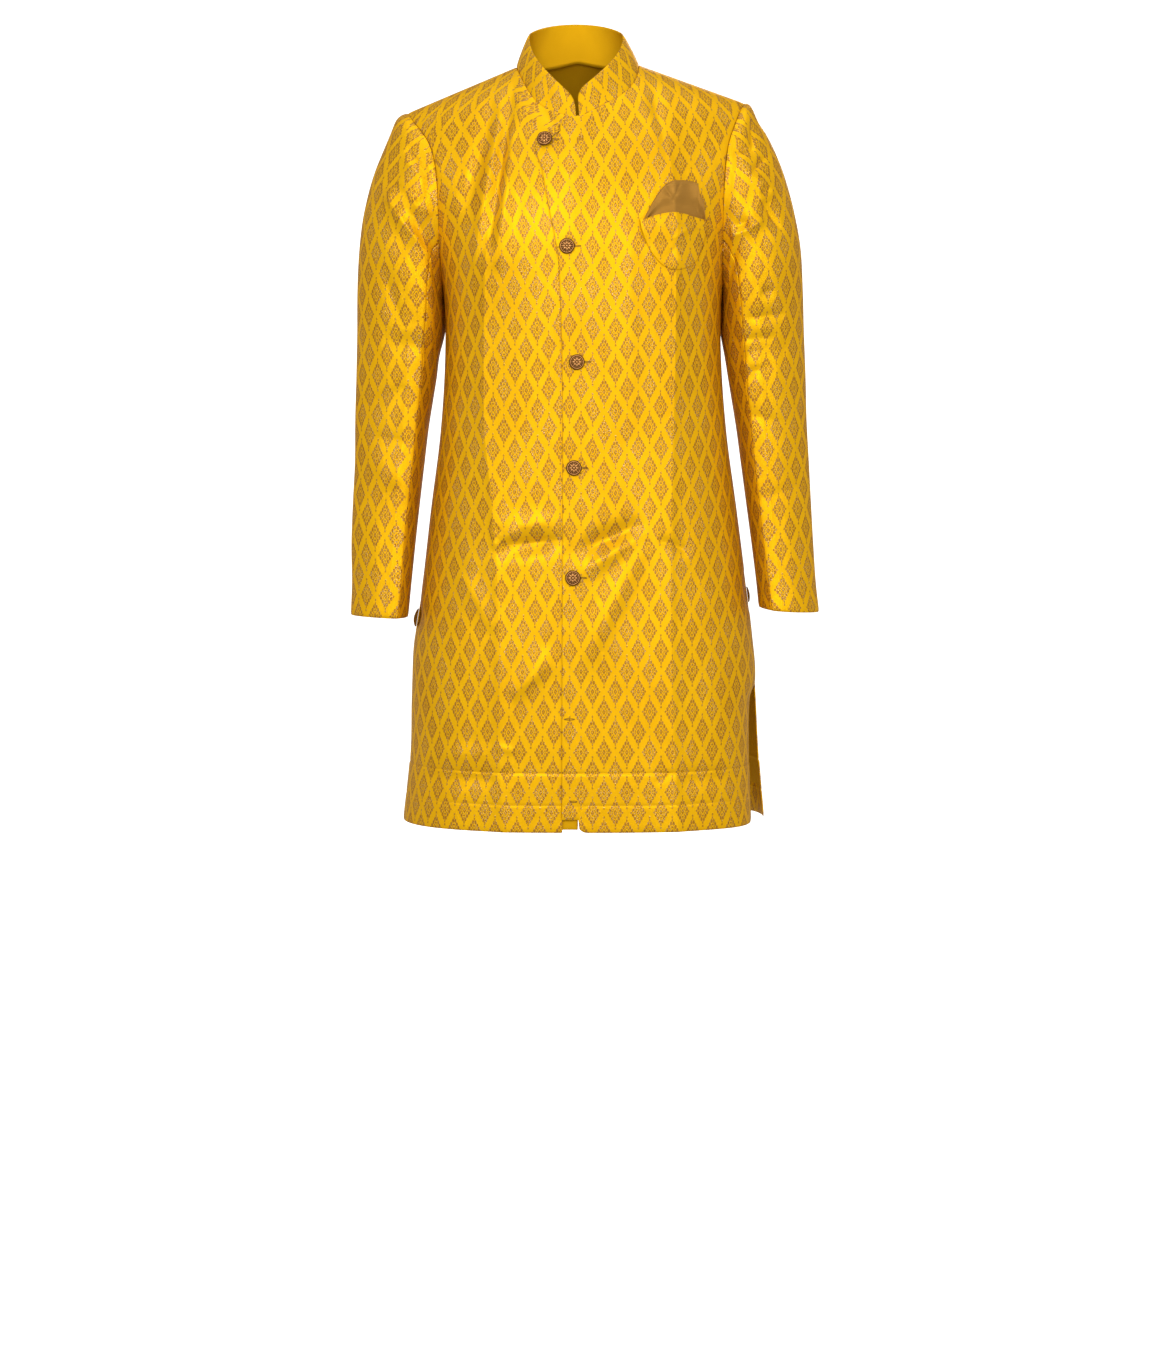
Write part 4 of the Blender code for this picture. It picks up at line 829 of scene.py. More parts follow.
# Grids of points, turned into cloth
def outward_normals(grid, inside):
    """Unit normals of a grid, turned away from what lies inside the cloth."""
    normals = unit(np.cross(np.gradient(grid, axis=1), np.gradient(grid, axis=0)))
    return -normals if np.sum(normals * (grid - inside)) < 0 else normals


def draw_border(points, towards, amount):
    """Move a border at right angles to itself, towards the row or column beside it."""
    tangent = unit(np.gradient(points, axis=0))
    step = towards - points
    step = unit(step - tangent * np.sum(step * tangent, axis=1, keepdims=True))
    return points + step * amount


def widen(inner, first=0.0, last=0.0, top=0.0, bottom=0.0):
    """Let the inner face run on past a seam by these lengths, as a seam allowance does."""
    wide = inner.copy()
    for border, beside, amount in ((0, 1, top), (-1, -2, bottom)):
        wide[border] = draw_border(inner[border], inner[beside], -amount)
    base = wide.copy()
    for border, beside, amount in ((0, 1, first), (-1, -2, last)):
        wide[:, border] = draw_border(base[:, border], base[:, beside], -amount)
    return wide


def trim(grid):
    """Draw the four borders in by half a seam gap."""
    return widen(grid, *[-SEAM_GAP / 2] * 4)


def run_of(steps, axis):
    """Running length along an axis, from nought."""
    return np.insert(np.cumsum(steps, axis=axis), 0, 0.0, axis=axis)


def roll_edges(grid, normals, first=0.0, last=0.0, top=0.0, bottom=0.0):
    """Let the cloth turn in softly along seams and folded edges, by these depths."""
    from_first = run_of(np.linalg.norm(np.diff(grid, axis=1), axis=2), 1)
    from_top = run_of(np.linalg.norm(np.diff(grid, axis=0), axis=2), 0)
    from_last = from_first[:, -1:] - from_first
    from_bottom = from_top[-1:] - from_top
    depth = first * np.exp(-from_first / ROLL_WIDTH) + last * np.exp(-from_last / ROLL_WIDTH)
    depth += top * np.exp(-from_top / ROLL_WIDTH) + bottom * np.exp(-from_bottom / ROLL_WIDTH)
    return grid - normals * depth[..., None]


def panel_pattern(grid, middle_x):
    """Where the weave lies on a body panel, in metres: across from a plumb line, up from the hem."""
    step = np.diff(grid, axis=1)
    u = run_of(np.hypot(step[..., 0], step[..., 1]), 1)
    for r in range(len(u)):
        order = np.argsort(grid[r, :, 0])
        u[r] -= np.interp(middle_x, grid[r, order, 0], u[r, order])
    drop = np.diff(grid, axis=0)
    v = run_of(np.hypot(drop[..., 1], drop[..., 2]), 0)
    return np.stack((u, v[-1:] - v + grid[-1:, :, 2] - HEM_Z), axis=-1)


def sleeve_pattern(grid, sections, column):
    """Where the weave lies on a sleeve: round its axis from one column, up from the cuff."""
    keys = np.array((AXIS_SECTION, len(sections) - 1.0))
    ends = section_centre(sections, keys[:, None])[:, 0]
    axis = unit(ends[0] - ends[1])
    rise = (grid - ends[1]) @ axis
    ray = grid - ends[1] - rise[..., None] * axis
    rise = np.minimum.accumulate(rise, axis=0)
    levels = np.linspace(rise.min(), rise.max(), SLEEVE_SLICES)
    columns = range(grid.shape[1])
    slices = np.stack([np.stack([np.interp(levels, rise[::-1, c], ray[::-1, c, axis]) for c in columns],
                                axis=1) for axis in range(3)], axis=-1)
    round_it = run_of(np.linalg.norm(np.diff(slices, axis=1), axis=-1), 1)
    round_it = round_it - round_it[:, column:column + 1]
    u = np.stack([np.interp(rise[:, c], levels, round_it[:, c]) for c in columns], axis=1)
    return np.stack((u, rise), axis=-1)


def woven_place(points, grid, pattern):
    """The weave's coordinates of a panel, looked up at other points seen from the front."""
    at = points.reshape(-1, 3)
    x, u, v = (np.array([np.interp(at[:, 2], grid[::-1, c, 2], values[::-1, c])
                         for c in range(grid.shape[1])])
               for values in (grid[..., 0], pattern[..., 0], pattern[..., 1]))
    found = [(np.interp(place, x[:, i], u[:, i]), np.interp(place, x[:, i], v[:, i]))
             for i, place in enumerate(at[:, 0])]
    return np.array(found).reshape(points.shape[:2] + (2,))


def add_object(name, data):
    made = bpy.data.objects.new(name, data)
    bpy.context.scene.collection.objects.link(made)
    return made


def mesh_object(name, points, faces, pattern, materials, picks):
    """A mesh from arrays, its faces turned outwards, with the weave's coordinates as its UV map."""
    points = np.asarray(points, float)
    faces = np.asarray(faces)
    corners = points[faces]
    volume = np.sum(corners[:, 0] * np.cross(corners[:, 1], corners[:, 2]))
    volume += np.sum(corners[:, 0] * np.cross(corners[:, 2], corners[:, 3]))
    if volume < 0:
        faces = faces[:, ::-1]
    mesh = bpy.data.meshes.new(name)
    mesh.vertices.add(len(points))
    mesh.vertices.foreach_set("co", points.astype(np.float32).ravel())
    mesh.loops.add(faces.size)
    mesh.loops.foreach_set("vertex_index", faces.astype(np.int32).ravel())
    mesh.polygons.add(len(faces))
    mesh.polygons.foreach_set("loop_start", np.arange(0, faces.size, 4, dtype=np.int32))
    mesh.polygons.foreach_set("loop_total", np.full(len(faces), 4, np.int32))
    mesh.polygons.foreach_set("material_index", np.asarray(picks, np.int32))
    mesh.polygons.foreach_set("use_smooth", np.ones(len(faces), bool))
    layer = mesh.uv_layers.new(name="cloth")
    layer.data.foreach_set("uv", pattern[faces.ravel()].astype(np.float32).ravel())
    mesh.update(calc_edges=True)
    mesh.validate()
    for material in materials:
        mesh.materials.append(material)
    return add_object(name, mesh)


def cloth_wall(name, outer, inner, pattern, face, lining):
    """A thin closed shell between two grids, with rounded borders."""
    rows, columns = outer.shape[:2]
    count = rows * columns
    index = np.arange(count).reshape(rows, columns)
    border = np.concatenate((index[0], index[1:, -1], index[-1, -2::-1], index[-2:0:-1, 0]))
    beside = index.copy()
    beside[0] = index[1]
    beside[-1] = index[-2]
    beside[1:-1, 0] = index[1:-1, 1]
    beside[1:-1, -1] = index[1:-1, -2]
    flat_outer = outer.reshape(-1, 3)
    flat_inner = inner.reshape(-1, 3)
    middle = (flat_outer[border] + flat_inner[border]) / 2
    outwards = unit(flat_outer[border] - flat_outer[beside.ravel()[border]])
    thickness = np.linalg.norm(flat_outer[border] - flat_inner[border], axis=1, keepdims=True)
    middle = middle + outwards * thickness * EDGE_ROUND
    a = index[:-1, :-1].ravel()
    b = index[:-1, 1:].ravel()
    d = index[1:, :-1].ravel()
    e = index[1:, 1:].ravel()
    outside = np.stack((a, d, e, b), axis=1)
    inside = np.stack((a, b, e, d), axis=1) + count
    following = np.roll(border, -1)
    ring = np.arange(len(border)) + 2 * count
    ring_next = np.roll(ring, -1)
    upper = np.stack((border, following, ring_next, ring), axis=1)
    lower = np.stack((ring, ring_next, following + count, border + count), axis=1)
    faces = np.vstack((outside, inside, upper, lower))
    lined = (flat_inner[a, 2] > HEM_INSIDE_Z).astype(int)
    picks = np.concatenate((np.zeros(len(outside)), lined, np.zeros(len(upper)), np.zeros(len(lower))))
    points = np.vstack((flat_outer, flat_inner, middle))
    flat_pattern = pattern.reshape(-1, 2)
    pattern = np.vstack((flat_pattern, flat_pattern, flat_pattern[border]))
    return mesh_object(name, points, faces, pattern, (face, lining), picks)


# The panels
def front_grid(side):
    """Outer face of a front, from its front edge to its side seam."""
    overlapping = side is IMAGE_RIGHT
    kind, share = front_columns(overlapping)
    place = front_place(side, kind, share)
    top = settle_top(place, False)
    z = row_heights(top, SHOULDER_Z[side.name], FRONT_ROWS)
    x = place(z)
    if overlapping:
        z = z + notch_rise(x, z)
        lift = overlap_lift(x, z)
    else:
        covered = x[0] > spline(FRONT_EDGE, "edge", z[0]) - UNDERLAP_MARGIN
        for row, part in enumerate(UNDERLAP_EASE):
            z[row] -= UNDERLAP_DROP * part * covered
        lift = np.zeros(z.shape)
    round_side = np.where(kind == 2, share, 0.0)[None, :]
    return drape(x, z, side, False, round_side, lift)


def back_grid():
    """Outer face of the back, from the side seam at -X to the one at +X."""
    halves = []
    for side in SIDES:
        inner = crowd(np.arange(BACK_INNER_COLUMNS + 1) / BACK_INNER_COLUMNS)
        outer = np.arange(1, OUTER_COLUMNS + 1) / OUTER_COLUMNS
        kind = np.concatenate((np.ones(len(inner)), np.full(len(outer), 2)))
        share = np.concatenate((inner, outer))

        def place(z, side=side, kind=kind, share=share):
            line = NECK_HALF_WIDTH + BACK_LINE_SPREAD * smooth(0.0, BACK_LINE_END_Z, z)
            line = NECK_X + side.sign * line
            return np.where(kind == 1, NECK_X + (line - NECK_X) * share,
                            column_x(z, line, side, share, True))

        z = row_heights(settle_top(place, True), SHOULDER_Z[side.name], BACK_ROWS)
        round_side = np.where(kind == 2, share, 0.0)[None, :]
        halves.append(drape(place(z), z, side, True, round_side, 0.0))
    return np.concatenate((halves[0][:, :0:-1], halves[1]), axis=1)


def side_roll(z):
    """The seam shows less towards the armpit, where sleeve and body face each other."""
    closed = smooth(ROLL_HIGH, ROLL_LOW, z) * smooth(ARMPIT_Z - ROLL_AGAIN, ARMPIT_Z - ROLL_NONE, z)
    return (SEAM_ROLL * (1 - closed))[:, None]


def body_panel(name, grid, middle_x, first=None):
    """A panel as cloth; `first` is how far its first border turns in, where that isn't a side seam."""
    normals = outward_normals(grid, BODY_INSIDE)
    pattern = panel_pattern(grid, middle_x)
    if first is None:
        first = side_roll(grid[:, 0, 2])
    last = side_roll(grid[:, -1, 2])
    outer = roll_edges(trim(grid), normals, first, last, SEAM_ROLL, HEM_ROLL)
    inner = widen(trim(grid) - normals * WALL, top=SEAM_ALLOWANCE)
    return cloth_wall(name, outer, inner, pattern, brocade, lining)


# The sleeves
def section_points(sections, at, angle):
    """Points of the plain sleeve; `at` counts sections from the armhole, angles run forwards."""
    field = {name: along(sections, name, at) for name in sections[0]._fields}
    cosine = np.cos(angle)
    sine = np.sin(angle)
    reach = np.sign(cosine) * np.abs(cosine) ** field["pinch"]
    inwards = -np.sign(field["outer_x"])
    x = (field["outer_x"] + field["inner_x"]) / 2
    x = x + (field["outer_x"] - field["inner_x"]) / 2 * reach + inwards * field["tip"] * sine**2
    z = (field["outer_z"] + field["inner_z"]) / 2 + (field["outer_z"] - field["inner_z"]) / 2 * reach
    y = field["centre_y"] - field["depth"] * sine
    return np.stack((x, y, z), axis=-1)


def section_centre(sections, at):
    """The middle of the plain sleeve's sections."""
    ends = [section_points(sections, at, np.full((1, 1), angle)) for angle in (0.0, math.pi)]
    return (ends[0] + ends[1]) / 2


def armhole_points(side, angle):
    """The armhole seam, which the panels end at and the sleeve starts from."""
    top = SHOULDER_Z[side.name]
    z = top + (ARMPIT_Z - top) * (1 - np.cos(angle)) / 2
    front = front_point(outer_x(z, side, False), z)
    back = back_point(outer_x(z, side, True), z)
    return np.where((np.sin(angle) < 0)[..., None], back, front)


def wrinkle_height(wrinkles, angle, down):
    total = np.zeros(np.broadcast(angle, down).shape)
    for line in wrinkles:
        half = (line.angle1 - line.angle0) / 2
        turned = (np.degrees(angle) - line.angle0 + 180 - half) % 360 - 180 + half
        share, away = beside(turned / 360 * SLEEVE_GIRTH, (down - line.down0) * SLEEVE_LENGTH,
                             half / 180 * SLEEVE_GIRTH, (line.down1 - line.down0) * SLEEVE_LENGTH)
        total += line.height * end_fade(share) * soft_fall(away / line.width)
    return total


def sleeve_piece(side, sections, wrinkles, creases, first_angle, last_angle, columns):
    angle = np.radians(np.linspace(first_angle, last_angle, columns + 1))[None, :]
    at = np.linspace(0, len(sections) - 1, SLEEVE_ROWS + 1)[:, None]
    keep = np.maximum(1 - at / SLEEVE_BLEND_ROWS, 0.0) ** SLEEVE_BLEND_POWER
    offset = armhole_points(side, angle) - section_points(sections, np.zeros((1, 1)), angle)
    grid = section_points(sections, at, angle) + offset * keep[..., None]
    reach = UNDERARM_REACH * smooth(*UNDERARM_FROM, at) * (1 - smooth(*UNDERARM_TO, at))
    off_underarm = (np.degrees(angle) % 360 - UNDERARM_ANGLE) / UNDERARM_WIDTH
    grid[..., 0] -= side.sign * reach * soft_fall(off_underarm)
    down = at / (len(sections) - 1)
    centre = section_centre(sections, at)
    normals = outward_normals(grid, centre)
    near = SLEEVE_CREASE_SHARE * smooth(0.0, CREASE_TURN, np.sin(angle))
    far = SLEEVE_CREASE_SHARE * FAR_SIDE_SHARE * smooth(0.0, CREASE_TURN, -np.sin(angle))
    off_press = (np.degrees(angle) - SLEEVE_PRESS_ANGLE) / SLEEVE_PRESS_WIDTH
    press = sharp_fall(off_press, PRESS_ROUND) * smooth(SLEEVE_PRESS_START, SLEEVE_PRESS_FULL, down)
    height = wrinkle_height(wrinkles, angle, down) + SLEEVE_PRESS_HEIGHT * press
    height = height + crease_height(creases, grid[..., 0], grid[..., 2]) * near
    height = height + crease_height(creases, grid[..., 0], grid[..., 2] + FAR_SIDE_DROP) * far
    plain = grid
    grid = grid + normals * (height * smooth(0.0, WRINKLES_START, down))[..., None]
    pattern = sleeve_pattern(plain, sections, columns // 2)
    return grid, outward_normals(grid, centre), pattern


def build_sleeve(side, sections, wrinkles, creases):
    made = []
    for part, first, last, columns in (("top_sleeve_", SEAM_BACK - 360, SEAM_FRONT, TOP_COLUMNS),
                                       ("under_sleeve_", SEAM_FRONT, SEAM_BACK, UNDER_COLUMNS)):
        grid, normals, pattern = sleeve_piece(side, sections, wrinkles, creases, first, last, columns)
        trimmed = trim(grid)
        turn = np.radians(np.linspace(first, last, columns + 1))[None, :]
        seam = SEAM_ROLL * smooth(-0.1, 0.7, np.cos(turn))
        outer = roll_edges(trimmed, normals, SLEEVE_SEAM_ROLL, SLEEVE_SEAM_ROLL, seam, HEM_ROLL)
        made.append(cloth_wall(part + side.name, outer, trimmed - normals * WALL, pattern,
                               brocade, lining))
    return made


# The collar
def collar_base(angle, necklines):
    """On the panels' top edges; the angle runs from the middle of the front through +X."""
    x = NECK_X + NECK_HALF_WIDTH * np.sin(angle)
    points = {}
    for name, row in necklines.items():
        points[name] = np.stack([np.interp(x, row[:, 0], row[:, axis]) for axis in range(3)], axis=-1)
    left = points["left"]
    lift = overlap_lift(x, left[:, 2])[:, None]
    left = left - hull_normal(x, left[:, 2], False) * lift
    overlap = x > spline(FRONT_EDGE, "edge", top_height(x, False))
    front = np.where(overlap[:, None], left, points["right"])
    return np.where((np.cos(angle) < 0)[:, None], points["back"], front)


def collar_top(angle):
    across = np.sin(angle)
    forward = np.maximum(np.cos(angle), 0.0)
    backward = np.maximum(-np.cos(angle), 0.0)
    x = COLLAR_TOP_X + COLLAR_TOP_HALF_WIDTH * across
    y = COLLAR_TOP_FRONT_Y * forward + COLLAR_TOP_BACK_Y * backward
    lowest = np.where(across > 0, COLLAR_TOP_FRONT_Z_LEFT, COLLAR_TOP_FRONT_Z_RIGHT)
    turned = np.arccos(forward) / (math.pi / 2)
    z = lowest + (COLLAR_TOP_SIDE_Z - lowest) * turned
    z = z + (COLLAR_TOP_BACK_Z - COLLAR_TOP_SIDE_Z) * backward
    return np.stack((x, y, z), axis=-1)


def corner_cut(angle):
    """How much of the collar's height the rounded front ends take away."""
    from_front = np.minimum(angle, 2 * math.pi - angle) * NECK_HALF_WIDTH - COLLAR_FRONT_GAP / 2
    t = np.clip(1 - from_front / COLLAR_CORNER_RADIUS, 0.0, 1.0)
    return COLLAR_CORNER_RADIUS * (1 - np.sqrt(1 - t * t))


def collar_angles():
    start = COLLAR_FRONT_GAP / 2 / NECK_HALF_WIDTH
    corner = COLLAR_CORNER_RADIUS / NECK_HALF_WIDTH
    near = start + corner * (1 - np.cos(np.linspace(0, math.pi / 2, CORNER_COLUMNS + 1)))
    far = np.linspace(start + corner, math.pi, COLLAR_COLUMNS + 1)[1:]
    half = np.concatenate((near, far))
    return np.concatenate((half, 2 * math.pi - half[-2::-1]))


def build_collar(necklines):
    angle = collar_angles()
    base = collar_base(angle, necklines)
    rise = collar_top(angle) - base
    height = np.linalg.norm(rise, axis=1)
    reach = (height - corner_cut(angle)) / height
    share = np.linspace(0, 1, COLLAR_ROWS + 1)[:, None, None]
    grid = base[None] + rise[None] * share * reach[None, :, None]
    normals = outward_normals(grid, NECK_INSIDE)
    belly = COLLAR_BELLY * np.sin(math.pi * share[..., 0])
    grid = grid + normals * belly[..., None]
    u = run_of(np.linalg.norm(np.diff(grid, axis=1), axis=2), 1)
    u = u - u[:, len(angle) // 2, None]
    v = np.broadcast_to(height[None, :] * share[..., 0], u.shape)
    pattern = np.stack((u[COLLAR_ROWS // 2] + 0 * u, v + COLLAR_PATTERN_UP), axis=-1)
    trimmed = trim(grid)
    outer = roll_edges(trimmed, normals, EDGE_ROLL, EDGE_ROLL, SEAM_ROLL, EDGE_ROLL)
    inner = widen(trimmed - normals * COLLAR_WALL, top=COLLAR_ALLOWANCE)
    return cloth_wall("stand_collar", outer, inner, pattern, brocade, lining)


# The chest pocket, its square and the facings
def pocket_x(across, z):
    left = spline(POCKET, "left", z)
    return left + (spline(POCKET, "right", z) - left) * across


def pocket_lift(share):
    """How far the patch stands off the front, from its mouth at 0 to its point at 1."""
    room = (SQUARE_WALL + 2 * LAID_GAP) * (1 - smooth(POCKET_CLOSE, POCKET_FLAT, share))
    return POCKET_GAP + room


def pocket_points(across, z, lift):
    x = pocket_x(across, z)
    return front_point(x, z, lift + overlap_lift(x, z))


def mouth_rise(across):
    return POCKET_MOUTH_RISE * np.sin(math.pi * np.clip(across, 0.0, 1.0)) ** POCKET_MOUTH_POWER


def build_chest_pocket():
    share = np.linspace(0, 1, POCKET_ROWS + 1)[:, None]
    across = np.linspace(0, 1, POCKET_COLUMNS + 1)[None, :]
    top = POCKET[0].z
    z = top + (POCKET[-1].z - top) * share + mouth_rise(across) * (1 - share)
    lift = pocket_lift(share) + 0 * across
    outer = pocket_points(across + 0 * z, z, lift + POCKET_WALL)
    inner = pocket_points(across + 0 * z, z, lift)
    normals = outward_normals(outer, POCKET_INSIDE)
    pattern = woven_place(outer, left_grid, panel_pattern(left_grid, FRONT_PATTERN_X))
    outer = roll_edges(outer, normals, EDGE_ROLL, EDGE_ROLL, EDGE_ROLL, EDGE_ROLL)
    return cloth_wall("chest_pocket_patch", outer, inner, pattern, brocade, lining)


def build_pocket_square():
    """A folded satin square: its foot is in the pocket and its peaks stand above the mouth."""
    share = np.linspace(0, 1, SQUARE_ROWS + 1)[:, None]
    across = SQUARE_START + SQUARE_WIDTH * np.linspace(0, 1, SQUARE_COLUMNS + 1)[None, :]
    mouth = POCKET[0].z + mouth_rise(across)
    foot = mouth - SQUARE_TUCK
    peak = mouth + spline(SQUARE_TOP, "height", across)
    z = foot + (peak - foot) * share
    above = smooth(*PLEAT_BEGINS, share)
    pleat = PLEAT * above * (1 + np.sin(across * PLEAT_TURN + share * PLEAT_SLANT))
    pleat = pleat + (crease_height(SQUARE_CREASES, pocket_x(across, z), z) + SQUARE_PUFF) * above
    outer = pocket_points(across + 0 * z, z, LAID_GAP + SQUARE_WALL + pleat)
    inner = pocket_points(across + 0 * z, z, LAID_GAP + 0 * z)
    pattern = outer[..., [0, 2]]
    return cloth_wall("folded_pocket_square", outer, inner, pattern, satin, satin)


def build_front_facing():
    """The satin strip that runs on behind the overlapping panel, seen at the cut-back corner."""
    z = np.linspace(FACING_TOP_Z, HEM_Z + FACING_HEM, FACING_ROWS + 1)[:, None]
    share = np.linspace(0, 1, FACING_COLUMNS + 1)[None, :]
    under = front_edge_x(z, False)
    first = under + FACING_BEHIND
    last = np.maximum(under + FACING_LEAST, spline(FRONT_EDGE, "edge", z) + FACING_SHOWS)
    x = first + (last - first) * share
    lift = -(WALL + BEHIND_GAP) + 0 * x
    outer = front_point(x, z + 0 * x, lift)
    inner = front_point(x, z + 0 * x, lift - SATIN_WALL)
    pattern = outer[..., [0, 2]]
    return cloth_wall("satin_front_facing", outer, inner, pattern, lining, lining)


def build_side_facing(facing):
    """A crescent of satin that shows in the mouth of a side pocket."""
    side = facing.side
    share = np.linspace(0, 1, CRESCENT_ROWS + 1)[:, None]
    reach = np.linspace(0, 1, CRESCENT_COLUMNS + 1)[None, :]
    z = facing.top + (facing.bottom - facing.top) * share + 0 * reach
    bulge = np.sin(math.pi * (share * (1 - 2 * CRESCENT_END) + CRESCENT_END))
    seam_x = outer_x(z, side, False)
    x = seam_x + side.sign * (FACING_SEAT + reach * (facing.reach * bulge + SATIN_WALL / 2))
    y = -FACING_SEAT - SATIN_WALL * (1 + FACING_BULGE * bulge) + 0 * x
    outer = np.stack((x, y, z), axis=-1)
    inner = outer + np.array((0.0, SATIN_WALL, 0.0))
    pattern = np.stack((x, z), axis=-1)
    # Its satin is a darker copy of the brown-gold satin: painted shade
    return cloth_wall("satin_side_facing_" + side.name, outer, inner, pattern, shaded_pocket_satin, shaded_pocket_satin)


# Carved buttons
def carved_ring(ridge, r):
    return CARVING * ridge.height * soft_fall((r - ridge.place) / ridge.width)


def button_dome(radius):
    return BUTTON_DOME * np.sqrt(np.maximum(1 - (radius / BUTTON_RADIUS * DOME_WIDTH) ** 2, 0.0))


def button_carving(radius, angle):
    """Relief of the button's face: a rosette round a small heart, scrolls and a ring."""
    r = radius / BUTTON_RADIUS
    petals = np.abs(np.cos(angle * ROSETTE_PETALS / 2)) ** PETAL_POWER
    scrolls = np.cos(angle * ROSETTE_PETALS * 2)
    heart = CARVING * HEART.height * np.exp(-((r / HEART.width) ** 4))
    return carved_ring(ROSETTE, r) * petals + heart + carved_ring(SCROLLS, r) * scrolls + carved_ring(RIM, r)


def build_button(number, spot):
    angle = np.linspace(0, 2 * math.pi, BUTTON_SIDES, endpoint=False)
    rings = []
    relief = []
    for radius in BUTTON_RADIUS * np.linspace(BUTTON_MIDDLE, 1.0, BUTTON_RINGS):
        carved = button_carving(radius, angle)
        rings.append((radius, SHANK_HEIGHT + button_dome(radius) + carved))
        relief.append(carved / CARVING)
    for share, height in BUTTON_BACK:
        rings.append((BUTTON_RADIUS * share, np.full(BUTTON_SIDES, height)))
        relief.append(np.zeros(BUTTON_SIDES))
    lift = np.array(overlap_lift(spot.x, spot.z) + BUTTON_GAP)
    centre = front_point(np.array(spot.x), np.array(spot.z), lift)
    axis = hull_normal(np.array(spot.x), np.array(spot.z), False)
    across = unit(np.cross(np.array((0.0, 0.0, 1.0)), axis))
    up = np.cross(axis, across)
    ray = across[None] * np.cos(angle)[:, None] + up[None] * np.sin(angle)[:, None]
    points = [centre + ray * radius + axis * height[:, None] for radius, height in rings]
    crown = centre + axis * (SHANK_HEIGHT + button_dome(0.0) + button_carving(0.0, 0.0))
    points = np.vstack((*points, crown, centre))
    last = (len(rings) - 1) * BUTTON_SIDES
    top = last + BUTTON_SIDES
    faces = ring_faces(len(rings), BUTTON_SIDES)
    sides = [(i, (i + 1) % BUTTON_SIDES) for i in range(BUTTON_SIDES)]
    faces += [(i, j, top) for i, j in sides]
    faces += [(last + j, last + i, top + 1) for i, j in sides]
    mesh = bpy.data.meshes.new("carved_button_%d" % number)
    mesh.from_pydata(points.tolist(), [], faces)
    mesh.update()
    mesh.shade_smooth()
    values = np.concatenate((np.concatenate(relief), (1.0, 0.0))).astype(np.float32)
    carving = mesh.attributes.new("carving", "FLOAT", "POINT")
    carving.data.foreach_set("value", values)
    mesh.materials.append(button_metal)
    made = add_object("carved_button_%d" % number, mesh)
    turn_outwards(made)
    return made


def ring_faces(rings, sides):
    """Faces between rings of points, from each ring to the next."""
    faces = []
    for start in range(0, (rings - 1) * sides, sides):
        for i in range(sides):
            j = (i + 1) % sides
            faces.append((start + i, start + sides + i, start + sides + j, start + j))
    return faces


def turn_outwards(made):
    work = bmesh.new()
    work.from_mesh(made.data)
    bmesh.ops.recalc_face_normals(work, faces=work.faces)
    work.to_mesh(made.data)
    work.free()


# Materials
class Value:
    """A number on its way through the shader; Python's operators add the Math nodes."""

    def __init__(self, finish, socket):
        self.finish = finish
        self.socket = socket

    def maths(self, operation, *others):
        node = self.finish.node("ShaderNodeMath", {"operation": operation})
        for place, value in enumerate((self, *others)):
            self.finish.feed(node.inputs[place], value)
        return Value(self.finish, node.outputs[0])

    def __add__(self, other):
        return self.maths("ADD", other)

    __radd__ = __add__

    def __mul__(self, other):
        return self.maths("MULTIPLY", other)

    __rmul__ = __mul__

    def __sub__(self, other):
        return self.maths("SUBTRACT", other)

    def __rsub__(self, other):
        return (self * -1.0).maths("ADD", other)

    def __truediv__(self, other):
        return self.maths("DIVIDE", other)

    def __abs__(self):
        return self.maths("ABSOLUTE")

    def rounded(self):
        return self.maths("ROUND")

    def cosine(self):
        return self.maths("COSINE")

    def larger(self, other):
        return self.maths("MAXIMUM", other)

    def above(self, other):
        return self.maths("GREATER_THAN", other)

    def fade(self, low, high):
        """From 0 at `low` to 1 at `high`, smoothly."""
        node = self.finish.node("ShaderNodeMapRange", {"interpolation_type": "SMOOTHSTEP"},
                                {"Value": self, "From Min": low, "From Max": high})
        return Value(self.finish, node.outputs["Result"])


